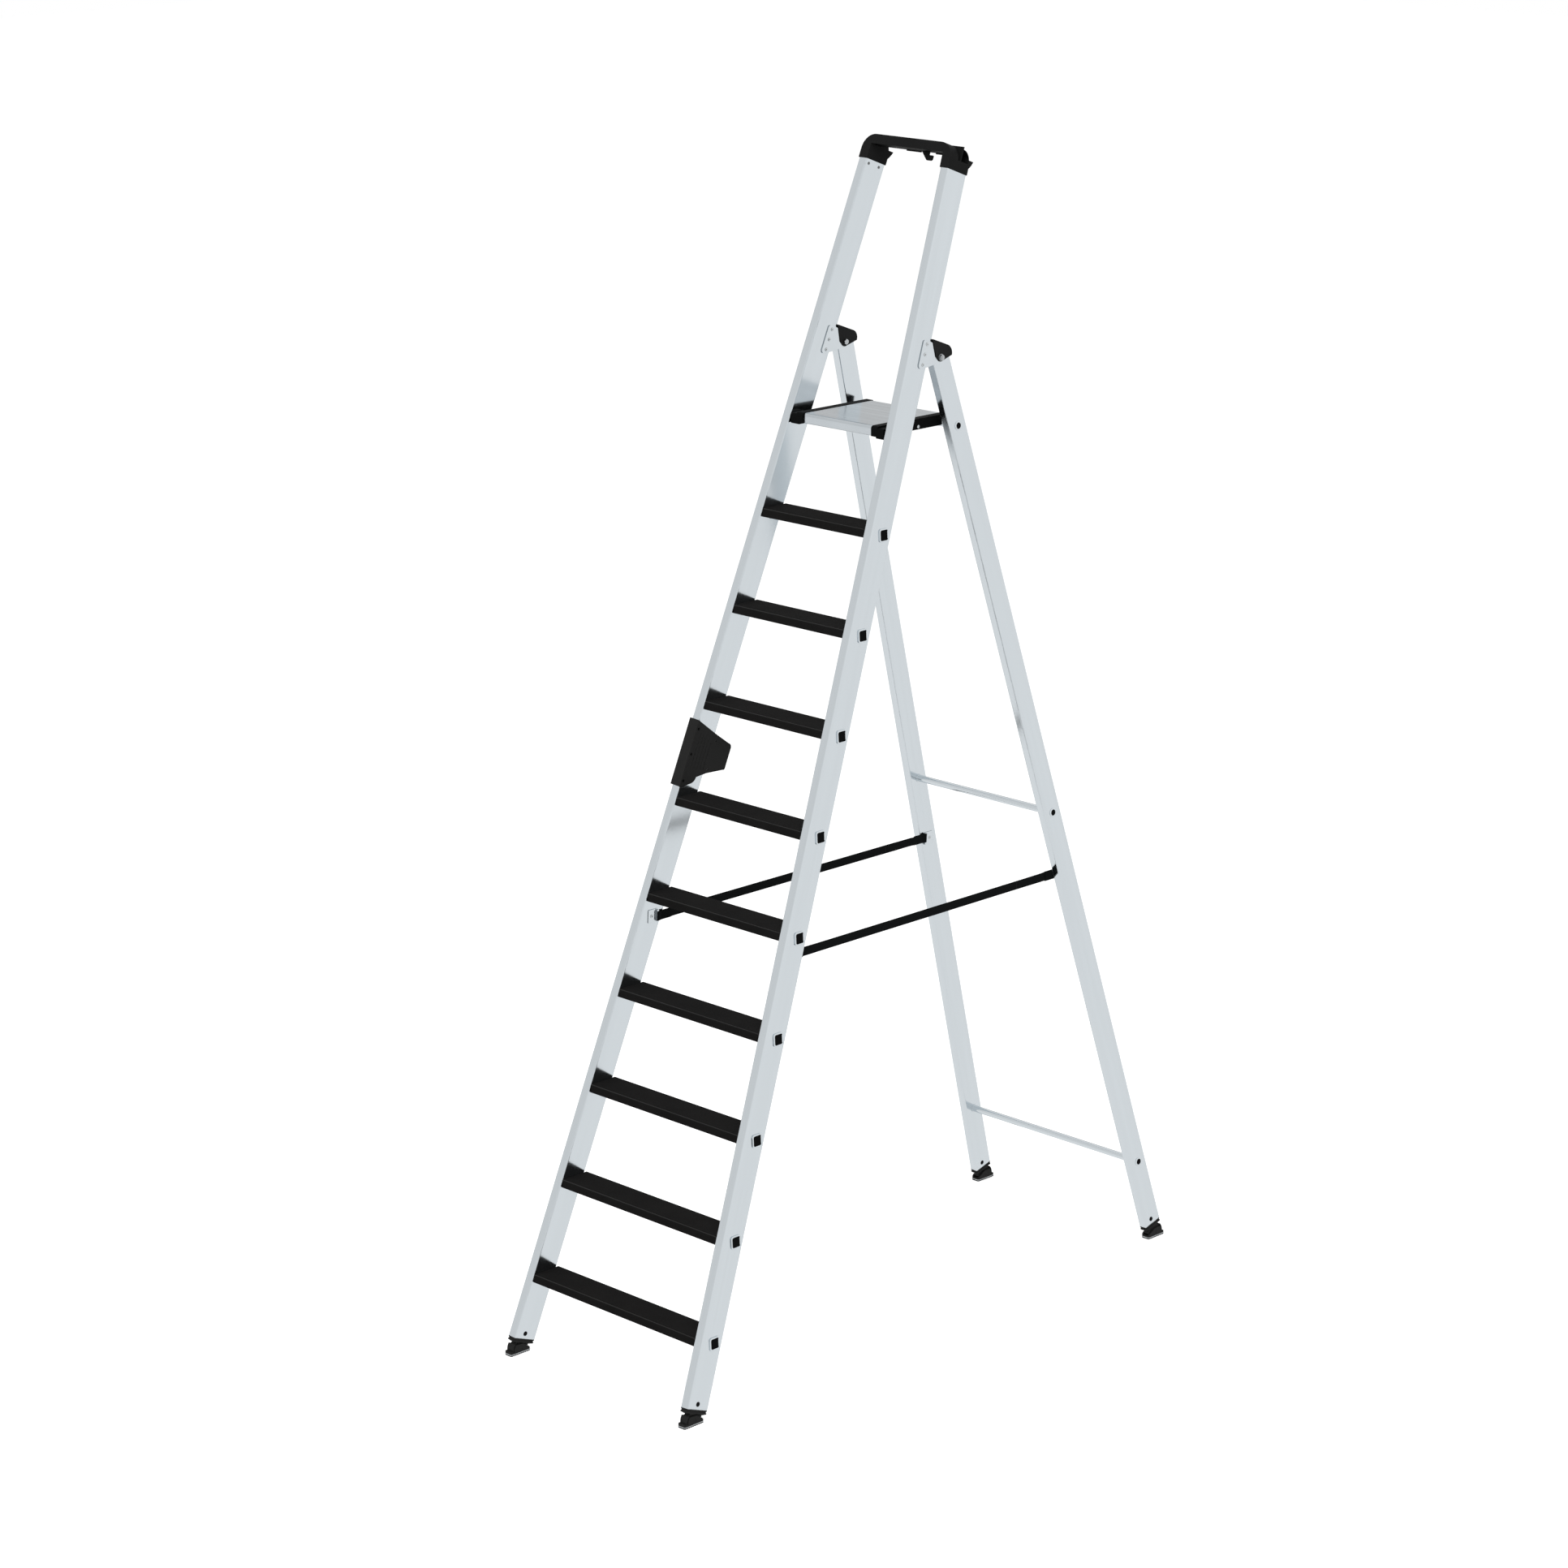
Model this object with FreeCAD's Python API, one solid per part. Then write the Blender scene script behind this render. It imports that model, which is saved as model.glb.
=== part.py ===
import FreeCAD, Part
import math
import os

# A one-sided platform step ladder, in millimetres.
#
# Row frame: +Z is up and the floor is Z = 0, X runs across the ladder and +Y from the climbing side
# to the rear frame. The origin is below the middle of the standing ladder.
#
# Two sloping frames share the work. The front frame is drawn in (x, w, v): v runs up along a stile
# from the floor, and w runs back from the stiles' front faces. The rear frame is drawn in (x, q, u):
# u runs up along a rear stile from the hinge pin, and q runs back from that pin.
# Each stile has its own frame too, tilted inwards by the taper: x = 0 is its outer face.

Vec = FreeCAD.Vector

# ---------------------------------------------------------------- driving dimensions

# Stance
FRONT_LEAN = 20.46
REAR_LEAN = 16.5
TAPER = 0.0573
FOOT_HALF_WIDTH = 328.0
HINGE_ALONG = 2676.6
HINGE_BACK = 40.6
STILE_TOP = 3141.0

# Stiles
FRONT_STILE_WIDTH = 25.0
FRONT_STILE_DEPTH = 70.0
FRONT_STILE_WALL = 2.0
REAR_STILE_WIDTH = 23.2
REAR_STILE_FRONT = -23.4
REAR_STILE_DEPTH = 58.0
REAR_STILE_WALL = 1.8
REAR_STILE_HEAD = 13.0
REAR_HEAD_AIR = 5.1
STILE_CORNER = 2.5

# Steps and treads
STEP_COUNT = 9
FIRST_STEP = 217.6
STEP_PITCH = 250.0
STEP_BACK = 44.2
STEP_TUBE = 27.0
STEP_TUBE_WALL = 1.5
STEP_TUBE_CORNER = 1.5
STEP_PLATE = 1.5
STEP_PLATE_LIP = 16.0
TREAD_THICK = 2.7
TREAD_FRONT = 40.5
TREAD_REAR = 41.5
TREAD_LIP = 22.0
TREAD_REAR_LIP = 6.0
TREAD_NOSE = 5.0
TREAD_END_GAP = 0.5
FLANGE_RIM = 3.2
FLANGE_CORNER = 6.5
FLANGE_PROUD = 2.6
FLANGE_FLARE = 1.2
FLANGE_MOUTH_CORNER = 4.5

# Rear cross tubes, by distance down the rear stile from the hinge
SUPPORT_TUBE_DOWN = 186.5
UPPER_TUBE_DOWN = 1273.8
LOWER_TUBE_DOWN = 2337.7
TUBE_BACK = 7.0
TUBE_RADIUS = 9.0
TUBE_WALL = 1.5
TUBE_FLARE = 2.8
TUBE_FLARE_PROUD = 2.2
TUBE_MOUTH = 0.9
TUBE_BEAD = 2.0
TUBE_BEAD_LONG = 2.0
HOLE_CLEARANCE = 0.1

# Hinge
PLATE_THICK = 2.5
PLATE_BOSS = 12.5
PLATE_FRONT = 70.1
PLATE_TOP = 26.9
PLATE_TOP_REACH = 38.6
PLATE_LOW_REACH = 33.6
PLATE_LOW = 33.0
PLATE_FOOT = 45.0
PLATE_CORNER = 7.0
PLATE_FOOT_CORNER = 8.8
HINGE_SHANK = 4.0
HINGE_WASHER_RADIUS = 8.7
HINGE_WASHER = 1.5
NUT_ACROSS = 13.0
NUT_HIGH = 5.4
NUT_CROWN = 1.2
SHANK_PROUD = 0.8
BUSH_RADIUS = 6.0
BUSH_END_PLAY = 0.4
RUNNING_FIT = 0.05
COVER_WALL = 2.2
COVER_WEB = 1.8
COVER_TOP = 34.9
COVER_AIR = 5.5
COVER_BEND = 24.7
COVER_END = 21.0
COVER_CHEEK_DROP = 5.5
COVER_CHEEK_STEP = 2.7
COVER_BOSS_MIDDLE = 95.0
COVER_BOSS_END = 133.0
COVER_CHEEK_FOOT = (-16.6, -3.6)
COVER_BOSS = 11.0
SEAT_GAP = 0.3
RIVET_RADIUS = 2.4
RIVET_HEAD = 4.3
RIVET_RIM = 0.5
RIVET_PROUD = 1.4
RIVET_EYE = 1.2
RIVET_EYE_DEEP = 1.1
RIVET_PITCH = 26.0
HINGE_RIVET_AHEAD = 56.1
HINGE_RIVET_TOP = 18.4

# Top cap
CAP_WALL = 1.5
CAP_SKIRT = 20.0
CAP_LEDGE = 27.0
CAP_BAR = 24.2
CAP_TOP = 62.0
CAP_CORNER = 40.0
CAP_BAR_DEPTH = 29.0
CAP_RIB_BACK = 37.0
CAP_RIB = 3.0
CAP_SHELL_RADIUS = 29.7
CAP_SHELL = 2.0
CAP_FLOOR = 38.0
CAP_FLOOR_THICK = 2.5
CAP_PAD_DEEP = 2.7
CAP_PAD_WIDE = 3.0
CAP_PADS = ((-26.0, 23.0), (72.0, 120.0))
CAP_HOOK_AT = 24.5
CAP_HOOK_LONG = 40.4
CAP_HOOK_DROP = 21.0
CAP_HOOK_SLOPE = 22.0
CAP_HOOK_MOUTH = 8.0
CAP_HOOK_THROAT = 26.0
CAP_HOOK_CORNER = 5.5
CAP_HOOK_THICK = 4.0
CAP_LUG_LOW = 15.0
CAP_LUG_TOP = 37.0
CAP_LUG_REACH = 14.5
CAP_LUG_BOW = 9.0
CAP_SCREW_DROP = 30.7
CAP_SCREWS_BACK = (12.9, 51.3)
SCREW_HEAD = 3.6
SCREW_HEAD_HIGH = 1.8
SCREW_SHANK = 2.0
SCREW_RIM = 0.6
SCREW_LONG = 8.0
PAD_SCREW_RIM = 0.3
PAD_SCREW_DOME = 0.9
PAD_SCREW_TIP = 0.5

# Platform, from its pivot
PLATFORM_PIVOT_ALONG = 2462.4
PLATFORM_PIVOT_BACK = 26.0
PLATFORM_PIN = 4.0
PIVOT_COLLAR = 3.86
PIVOT_COLLAR_RADIUS = 7.0
BOSS_LONG = 20.0
RAIL_WIDE = 21.0
DECK_FRONT = 22.5
DECK_REAR = 222.0
DECK_TOP = 17.2
DECK_THICK = 26.0
DECK_SKIN = 2.5
DECK_NOSE = 8.0
DECK_NOSE_LOW = 3.0
DECK_CELLS = 4
DECK_HEEL = 30.0
RAIL_FRONT = 27.0
RAIL_REAR = 227.0
RAIL_LIP = 0.8
RAIL_NOSE = 8.0
RAIL_EDGE = 3.0
BOSS_BACK = 20.0
BOSS_TOP = 14.0
BOSS_BOTTOM = 13.0
BOSS_CORNER = 5.0
BOSS_SUNK = 5.0
SADDLE_OPENING = 35.0
RAIL_RIVET_BACK = 120.0
RAIL_RIVET_LOW = 2.0

# Straps
STRAP_ALONG = 1164.6
STRAP_BACK = 36.0
STRAP_RIVET_DOWN = 1457.4
STRAP_RIVET_BACK = 8.3
STRAP_WIDE = 20.0
STRAP_THICK = 2.2
STRAP_SEWN_WIDE = 26.0
STRAP_SEWN_THICK = 4.4
STRAP_SEWN_LONG = 42.0
CLIP_LONG = 32.0
CLIP_HIGH = 35.0
CLIP_THICK = 1.6
CLIP_BARREL = 6.0
CLIP_RIVET_IN = 11.0
CLIP_CORNER = 3.0

# Grip pad
PAD_ALONG = 1583.4
PAD_THICK = 4.0
PAD_LIP = 4.0
PAD_UP = 86.8
PAD_DOWN = 86.0
PAD_BACK = 135.0
PAD_SCREW_BACK = 4.0
PAD_SCREWS_UP = (65.4, 0.0, -69.3)
PAD_TOE = (7.0, -84.0)
PAD_THUMB_LOW = (34.0, -71.0)
PAD_THUMB_MIDDLE = (40.0, -65.0)
PAD_THUMB_HIGH = (44.0, -53.1)
PAD_PALM = (74.0, -38.3)
PAD_HEEL_LOW = (129.0, -20.0)
PAD_HEEL_ROUND = (133.8, -18.0)
PAD_HEEL_UP = -12.7
PAD_BACK_UP = 38.0
PAD_CROWN_ROUND = (132.5, 44.5)
PAD_CROWN = (123.0, 49.0)
PAD_SHOULDER = (67.0, 64.4)
PAD_HOLE_RADIUS = 2.2
PAD_HOLES = ((76.0, 46.2), (77.0, -28.4))
PAD_GROOVES = 5
PAD_GROOVE_UP = 56.0
PAD_GROOVE_STEP = 4.0
PAD_GROOVE_DOWN = 34.0
PAD_GROOVE_FIRST = 14.0
PAD_GROOVE_PITCH = 11.0
PAD_GROOVE_WIDE = 2.4
PAD_GROOVE_DEEP = 0.7

# Feet
FOOT_PIVOT_HIGH = 13.0
FRONT_SHANK = 26.65
REAR_SHANK = 31.8
PLUG_RING = 3.0
PLUG_GROOVE = 4.0
PLUG_GROOVE_DEEP = 1.4
PLUG_LOWER_RING = 3.0
PLUG_TAPER = 3.4
PLUG_TAPER_IN = 9.6
PLUG_SLIP = 1.8
PLUG_NECK = 3.5
PLUG_INSERT = 45.0
PLUG_FIT = 0.1
TONGUE_RADIUS = 6.0
TONGUE_HALF = 10.0
SNAP_RADIUS = 5.5
SNAP_UP = 13.5
SNAP_AHEAD = 3.3
SNAP_PROUD = 0.4
FOOT_PIN = 2.5
SHOE_WIDE = 25.8
SHOE_TOE = 36.4
SHOE_HEEL = 28.5
SHOE_CHEEK = 4.5
SHOE_CHEEK_RADIUS = 12.6
SHOE_CHEEK_FRONT = (-24.0, 5.0)
SHOE_HUMP_FRONT = (-19.5, 13.0)
SHOE_HUMP = (-14.0, 13.5)
SHOE_SHOULDER = (21.5, 1.5)
SHOE_CROWN_AT = 72.0
SHOE_PLATE_LOW = 5.3
SHOE_PLATE_TOP = 9.0
SHOE_RIM = 1.5
SHOE_BULGE_RADIUS = 28.5
SHOE_BULGE_WALL = 3.3
FRONT_BULGE_UP = 36.0
REAR_BULGE_UP = 44.0
SHOE_BULGE_INSET = 1.6
SHOE_POCKET = 6.7
SHOE_CORNER = 5.0
SOLE_TEETH = 10
SOLE_TOOTH = 2.4
SOLE_GROOVE = 0.56
SOLE_GROOVE_ROOT = 0.4

# ---------------------------------------------------------------- derived places

LEAN_SIN = math.sin(math.radians(FRONT_LEAN))
LEAN_COS = math.cos(math.radians(FRONT_LEAN))
REAR_SIN = math.sin(math.radians(REAR_LEAN))
REAR_COS = math.cos(math.radians(REAR_LEAN))
TAPER_ANGLE = math.degrees(math.atan(TAPER))
TAPER_SIN = math.sin(math.radians(TAPER_ANGLE))
TAPER_COS = math.cos(math.radians(TAPER_ANGLE))

HINGE_BEHIND = FRONT_STILE_DEPTH + HINGE_BACK
STILE_MIDDLE = FRONT_STILE_DEPTH / 2
REAR_STILE_BACK = REAR_STILE_FRONT + REAR_STILE_DEPTH
REAR_HEAD_RADIUS = HINGE_BACK - REAR_HEAD_AIR
COVER_REACH = max(REAR_STILE_BACK, REAR_HEAD_RADIUS) + COVER_AIR
REAR_MIDDLE = REAR_STILE_FRONT + REAR_STILE_DEPTH / 2
HINGE_FROM_FLOOR_LINE = HINGE_ALONG * LEAN_SIN + HINGE_BEHIND * LEAN_COS
HINGE_Z = HINGE_ALONG * LEAN_COS - HINGE_BEHIND * LEAN_SIN

# Each foot turns about a pin on its stile's centre line, FOOT_PIVOT_HIGH above the floor.
FRONT_FOOT_ALONG = (FOOT_PIVOT_HIGH + STILE_MIDDLE * LEAN_SIN) / LEAN_COS
REAR_FOOT_DOWN = (HINGE_Z - FOOT_PIVOT_HIGH + REAR_MIDDLE * REAR_SIN) / REAR_COS
FRONT_FOOT_Y = FRONT_FOOT_ALONG * LEAN_SIN + STILE_MIDDLE * LEAN_COS
REAR_FOOT_Y = HINGE_FROM_FLOOR_LINE + REAR_FOOT_DOWN * REAR_SIN + REAR_MIDDLE * REAR_COS

# The shoes' toes are the ends of the footprint, and the origin lies half way between them.
CENTRE_Y = (FRONT_FOOT_Y - SHOE_TOE + REAR_FOOT_Y + SHOE_TOE) / 2
HINGE_Y = HINGE_FROM_FLOOR_LINE - CENTRE_Y

# The two frames' stiles are skewed to each other at the hinge, so a rear stile sits off centre
# between its plates, just enough to clear both of them by the same amount.
STILE_SKEW = 2 * math.sin(math.radians((FRONT_LEAN + REAR_LEAN) / 2)) * TAPER_SIN
HEAD_REACH = -REAR_STILE_FRONT * REAR_COS + REAR_STILE_HEAD * REAR_SIN
REAR_OFFSET = STILE_SKEW * (HEAD_REACH - PLATE_BOSS) / 2


def outer_half(along):
    """Half width over the front stiles at a distance up the frame."""
    return FOOT_HALF_WIDTH - TAPER * along


def inner_half(along):
    """Half width between the front stiles at a distance up the frame."""
    return outer_half(along) - FRONT_STILE_WIDTH / TAPER_COS


SIDE_PLAY = (FRONT_STILE_WIDTH - REAR_STILE_WIDTH) / 2
REAR_OUTER_AT_HINGE = outer_half(HINGE_ALONG) - SIDE_PLAY + REAR_OFFSET


def rear_outer_half(down):
    """Half width over the rear stiles at a distance down from the hinge."""
    return REAR_OUTER_AT_HINGE + TAPER * down


def rear_inner_half(down):
    """Half width between the rear stiles at a distance down from the hinge."""
    return rear_outer_half(down) - REAR_STILE_WIDTH / TAPER_COS


# ---------------------------------------------------------------- frames

TILT_IN = FreeCAD.Placement(Vec(), FreeCAD.Rotation(Vec(0, 1, 0), -TAPER_ANGLE))
FRONT = FreeCAD.Placement(Vec(0, -CENTRE_Y, 0), FreeCAD.Rotation(Vec(1, 0, 0), -FRONT_LEAN))
REAR = FreeCAD.Placement(Vec(0, HINGE_Y, HINGE_Z), FreeCAD.Rotation(Vec(1, 0, 0), REAR_LEAN))
FRONT_STILE = FRONT.multiply(FreeCAD.Placement(Vec(FOOT_HALF_WIDTH, 0, 0), FreeCAD.Rotation()))
FRONT_STILE = FRONT_STILE.multiply(TILT_IN)
REAR_STILE = REAR.multiply(FreeCAD.Placement(Vec(REAR_OUTER_AT_HINGE, 0, 0), FreeCAD.Rotation()))
REAR_STILE = REAR_STILE.multiply(TILT_IN)


def stile_length(along, inset=0.0):
    """Distance up a stile's own frame, on the line inset from its outer face, at a frame height."""
    return (along + inset * TAPER_SIN) / TAPER_COS


HINGE_ON_STILE = stile_length(HINGE_ALONG, FRONT_STILE_WIDTH / 2)


def placed(shape, placement):
    """The shape moved by a placement."""
    moved = shape.copy()
    moved.Placement = placement.multiply(moved.Placement)
    return moved


def mirrored(shape):
    """The shape's twin on the other side of the ladder."""
    return shape.mirror(Vec(0, 0, 0), Vec(1, 0, 0))


def pair(shape):
    """The shape and its twin."""
    return [shape, mirrored(shape)]


# ---------------------------------------------------------------- basic solids

TOUCHING = 0.000001
SKIM = 0.01
OVERSHOOT = 1.0
FAR = 400.0


def box(x0, x1, y0, y1, z0, z1):
    """A block between two corners."""
    return Part.makeBox(x1 - x0, y1 - y0, z1 - z0, Vec(x0, y0, z0))


def outline(path, to_vec):
    """A face inside a path: a step is a point, or a pair for an arc through the first.

    A path that doesn't come back to its first point by itself is closed with a line.
    """
    edges = []
    here = path[0]
    for step in path[1:]:
        if isinstance(step[0], tuple):
            via, end = step
            edges.append(Part.Arc(to_vec(here), to_vec(via), to_vec(end)).toShape())
        else:
            end = step
            edges.append(Part.makeLine(to_vec(here), to_vec(end)))
        here = end
    if math.dist(here, path[0]) > TOUCHING:
        edges.append(Part.makeLine(to_vec(here), to_vec(path[0])))
    return Part.Face(Part.Wire(edges))


def prism_x(path, x0, x1):
    """A (y, z) outline run from x0 to x1."""
    return outline(path, lambda p: Vec(x0, p[0], p[1])).extrude(Vec(x1 - x0, 0, 0))


def prism_y(path, y0, y1):
    """An (x, z) outline run from y0 to y1."""
    return outline(path, lambda p: Vec(p[0], y0, p[1])).extrude(Vec(0, y1 - y0, 0))


def rounded_path(a0, a1, b0, b1, radius):
    """A rectangle's path with rounded corners."""
    knee = radius * (1 - math.sqrt(0.5))
    return [
        (a0 + radius, b0),
        (a1 - radius, b0),
        ((a1 - knee, b0 + knee), (a1, b0 + radius)),
        (a1, b1 - radius),
        ((a1 - knee, b1 - knee), (a1 - radius, b1)),
        (a0 + radius, b1),
        ((a0 + knee, b1 - knee), (a0, b1 - radius)),
        (a0, b0 + radius),
        ((a0 + knee, b0 + knee), (a0 + radius, b0)),
    ]


def rounded_bar(x0, x1, y0, y1, radius, z0, z1):
    """A rounded rectangular bar standing along Z."""
    face = outline(rounded_path(x0, x1, y0, y1, radius), lambda p: Vec(p[0], p[1], z0))
    return face.extrude(Vec(0, 0, z1 - z0))


def rounded_square(size, radius):
    """A rounded square's path about (0, 0)."""
    return rounded_path(-size / 2, size / 2, -size / 2, size / 2, radius)


def rod_x(radius, x0, x1, y, z):
    """A round bar along X."""
    return Part.makeCylinder(radius, x1 - x0, Vec(x0, y, z), Vec(1, 0, 0))


def turned(path, x, y, z, way):
    """A turned piece on an axis along X: the path is (distance out from the plane at x, radius)."""
    face = outline(path, lambda p: Vec(x + way * p[0], y + p[1], z))
    return face.revolve(Vec(x, y, z), Vec(1, 0, 0), 360)


def domed_head(radius, rim, dome, x, y, z, way):
    """A washer-faced domed head standing on the plane at x, facing along way times X."""
    ball = (radius * radius + dome * dome) / (2 * dome)
    centre = rim + dome - ball
    half_turn = math.asin(radius / ball) / 2
    via = (centre + ball * math.cos(half_turn), ball * math.sin(half_turn))
    return turned([(0, 0), (0, radius), (rim, radius), (via, (rim + dome, 0))], x, y, z, way)


def rivet_head(x, y, z, way):
    """A blind rivet's low domed head, with the small hole that its broken stem leaves."""
    dome = RIVET_PROUD - RIVET_RIM
    ball = (RIVET_HEAD * RIVET_HEAD + dome * dome) / (2 * dome)
    centre = RIVET_PROUD - ball
    middle = (RIVET_HEAD + RIVET_EYE) / 2
    via = (centre + math.sqrt(ball * ball - middle * middle), middle)
    crest = (centre + math.sqrt(ball * ball - RIVET_EYE * RIVET_EYE), RIVET_EYE)
    floor = RIVET_PROUD - RIVET_EYE_DEEP
    path = [(0, 0), (0, RIVET_HEAD), (RIVET_RIM, RIVET_HEAD), (via, crest), (floor, RIVET_EYE), (floor, 0)]
    return turned(path, x, y, z, way)


def crowned_nut(x, y, z, way):
    """A hexagon nut with a bevelled crown, standing on the plane at x."""
    corner = NUT_ACROSS / math.sqrt(3)
    corners = [on_circle(corner, 60 * i) for i in range(6)]
    ends = sorted((x, x + way * NUT_HIGH))
    block = prism_x(moved_path(corners, y, z), ends[0], ends[1])
    crown = [
        (0, 0),
        (0, corner + NUT_CROWN),
        (NUT_HIGH - NUT_CROWN, corner),
        (NUT_HIGH, corner - NUT_CROWN),
        (NUT_HIGH, 0),
    ]
    return block.common(turned(crown, x, y, z, way))


def tangent_point(point, radius, side):
    """Where a line from an outside point touches a circle about (0, 0), on one side."""
    distance = math.hypot(point[0], point[1])
    angle = math.atan2(point[1], point[0]) + side * math.acos(radius / distance)
    return (radius * math.cos(angle), radius * math.sin(angle))


def on_circle(radius, degrees):
    """A point on a circle about (0, 0)."""
    return (radius * math.cos(math.radians(degrees)), radius * math.sin(math.radians(degrees)))


def moved_path(path, dy, dz):
    """A path shifted by (dy, dz)."""
    shifted = []
    for step in path:
        if isinstance(step[0], tuple):
            shifted.append(tuple((p[0] + dy, p[1] + dz) for p in step))
        else:
            shifted.append((step[0] + dy, step[1] + dz))
    return shifted


def mirrored_path(path):
    """A path reflected in its first coordinate."""
    flipped = []
    for step in path:
        if isinstance(step[0], tuple):
            flipped.append(tuple((-p[0], p[1]) for p in step))
        else:
            flipped.append((-step[0], step[1]))
    return flipped


def between_stiles(gap, half=inner_half):
    """The wedge of space between two stiles, less a gap at each side, in a frame's own axes."""
    low = -STILE_TOP
    high = 2 * STILE_TOP
    path = [(half(low) - gap, low), (half(high) - gap, high)]
    path += [(-half(high) + gap, high), (-half(low) + gap, low)]
    return prism_y(path, -FAR, FAR)


# ---------------------------------------------------------------- places along the frames

def step_along(index):
    """Distance up the front frame of a step's tube, counted from 0."""
    return FIRST_STEP + STEP_PITCH * index


def front_point(along, back):
    """The (y, z) of a point of the front frame."""
    y = along * LEAN_SIN + back * LEAN_COS - CENTRE_Y
    z = along * LEAN_COS - back * LEAN_SIN
    return (y, z)


def rear_point(down, back):
    """The (y, z) of a point of the rear frame."""
    y = HINGE_Y + down * REAR_SIN + back * REAR_COS
    z = HINGE_Z - down * REAR_COS + back * REAR_SIN
    return (y, z)


PLATFORM_PIVOT = front_point(PLATFORM_PIVOT_ALONG, PLATFORM_PIVOT_BACK)
BOSS_HALF_WIDTH = inner_half(PLATFORM_PIVOT_ALONG) - PIVOT_COLLAR
RAIL_HALF_WIDTH = BOSS_HALF_WIDTH - BOSS_LONG
DECK_HALF_WIDTH = RAIL_HALF_WIDTH - RAIL_WIDE
SUPPORT_TUBE = rear_point(SUPPORT_TUBE_DOWN, TUBE_BACK)
FRONT_FOOT = (FRONT_FOOT_Y - CENTRE_Y, FOOT_PIVOT_HIGH)
REAR_FOOT = (REAR_FOOT_Y - CENTRE_Y, FOOT_PIVOT_HIGH)
FRONT_FOOT_X = (outer_half(FRONT_FOOT_ALONG) + inner_half(FRONT_FOOT_ALONG)) / 2
REAR_FOOT_X = (rear_outer_half(REAR_FOOT_DOWN) + rear_inner_half(REAR_FOOT_DOWN)) / 2
TUBES_DOWN = {
    "platform_support_tube": SUPPORT_TUBE_DOWN,
    "upper_rear_tube": UPPER_TUBE_DOWN,
    "lower_rear_tube": LOWER_TUBE_DOWN,
}


# ---------------------------------------------------------------- front stiles

def hinge_axis_rod(radius, x0, x1):
    """A round bar on the hinge axis of the right-hand side."""
    return rod_x(radius, x0, x1, HINGE_Y, HINGE_Z)


def hinge_rivets_up():
    """Heights of the hinge plates' rivets in a stile's own frame."""
    return [HINGE_ON_STILE + HINGE_RIVET_TOP - RIVET_PITCH * i for i in range(3)]


def front_stile():
    """Right front stile, with the holes that its steps, rivets, pins and plug need."""
    bottom = stile_length(FRONT_FOOT_ALONG + FRONT_SHANK)
    top = stile_length(STILE_TOP)
    wall = FRONT_STILE_WALL
    width = FRONT_STILE_WIDTH
    depth = FRONT_STILE_DEPTH
    tube = rounded_bar(-width, 0, 0, depth, STILE_CORNER, bottom, top)
    inner_corner = STILE_CORNER - wall / 2
    bore = rounded_bar(wall - width, -wall, wall, depth - wall, inner_corner, bottom - 1, top + 1)
    holes = []
    for up in hinge_rivets_up():
        holes.append(rod_x(RIVET_RADIUS, -width - 1, 1, HINGE_BEHIND - HINGE_RIVET_AHEAD, up))
    for back in CAP_SCREWS_BACK:
        up = stile_length(STILE_TOP - CAP_SCREW_DROP, width)
        holes.append(rod_x(SCREW_SHANK, -width - 1, -width / 2, back, up))
    snap_up = bottom + SNAP_UP
    holes.append(rod_x(SNAP_RADIUS, -width - 1, 1, STILE_MIDDLE - SNAP_AHEAD, snap_up))
    holes.append(rod_x(RIVET_RADIUS, -width - 1, -width / 2, STRAP_BACK, stile_length(STRAP_ALONG, width)))
    stile = placed(tube.cut(bore).cut(holes), FRONT_STILE)
    cuts = []
    for index in range(STEP_COUNT):
        y, z = front_point(step_along(index), STEP_BACK)
        side = STEP_TUBE + 2 * HOLE_CLEARANCE
        cuts.append(box(0, FAR, y - side / 2, y + side / 2, z - side / 2, z + side / 2))
    y, z = PLATFORM_PIVOT
    middle = outer_half(PLATFORM_PIVOT_ALONG) - FRONT_STILE_WIDTH / 2
    cuts.append(rod_x(PLATFORM_PIN + HOLE_CLEARANCE, 0, middle, y, z))
    return stile.cut(cuts)


# ---------------------------------------------------------------- steps and treads

def step_flange(index):
    """The square flange, belled at its mouth, that clamps a step's tube outside the right stile."""
    bore = STEP_TUBE - 2 * STEP_TUBE_WALL
    plate = prism_x(rounded_square(STEP_TUBE + 2 * FLANGE_RIM, FLANGE_CORNER), 0, FLANGE_PROUD)
    inner = rounded_square(bore, STEP_TUBE_CORNER)
    mouth = rounded_square(bore + 2 * FLANGE_FLARE, FLANGE_MOUTH_CORNER)
    low = outline(inner, lambda p: Vec(-SKIM, p[0], p[1])).OuterWire
    high = outline(mouth, lambda p: Vec(FLANGE_PROUD + SKIM, p[0], p[1])).OuterWire
    plate = plate.cut(Part.makeLoft([low, high], True, True))
    level = FreeCAD.Placement(
        Vec(0, STEP_BACK, stile_length(step_along(index))),
        FreeCAD.Rotation(Vec(1, 0, 0), FRONT_LEAN),
    )
    return placed(placed(plate, level), FRONT_STILE)


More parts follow.
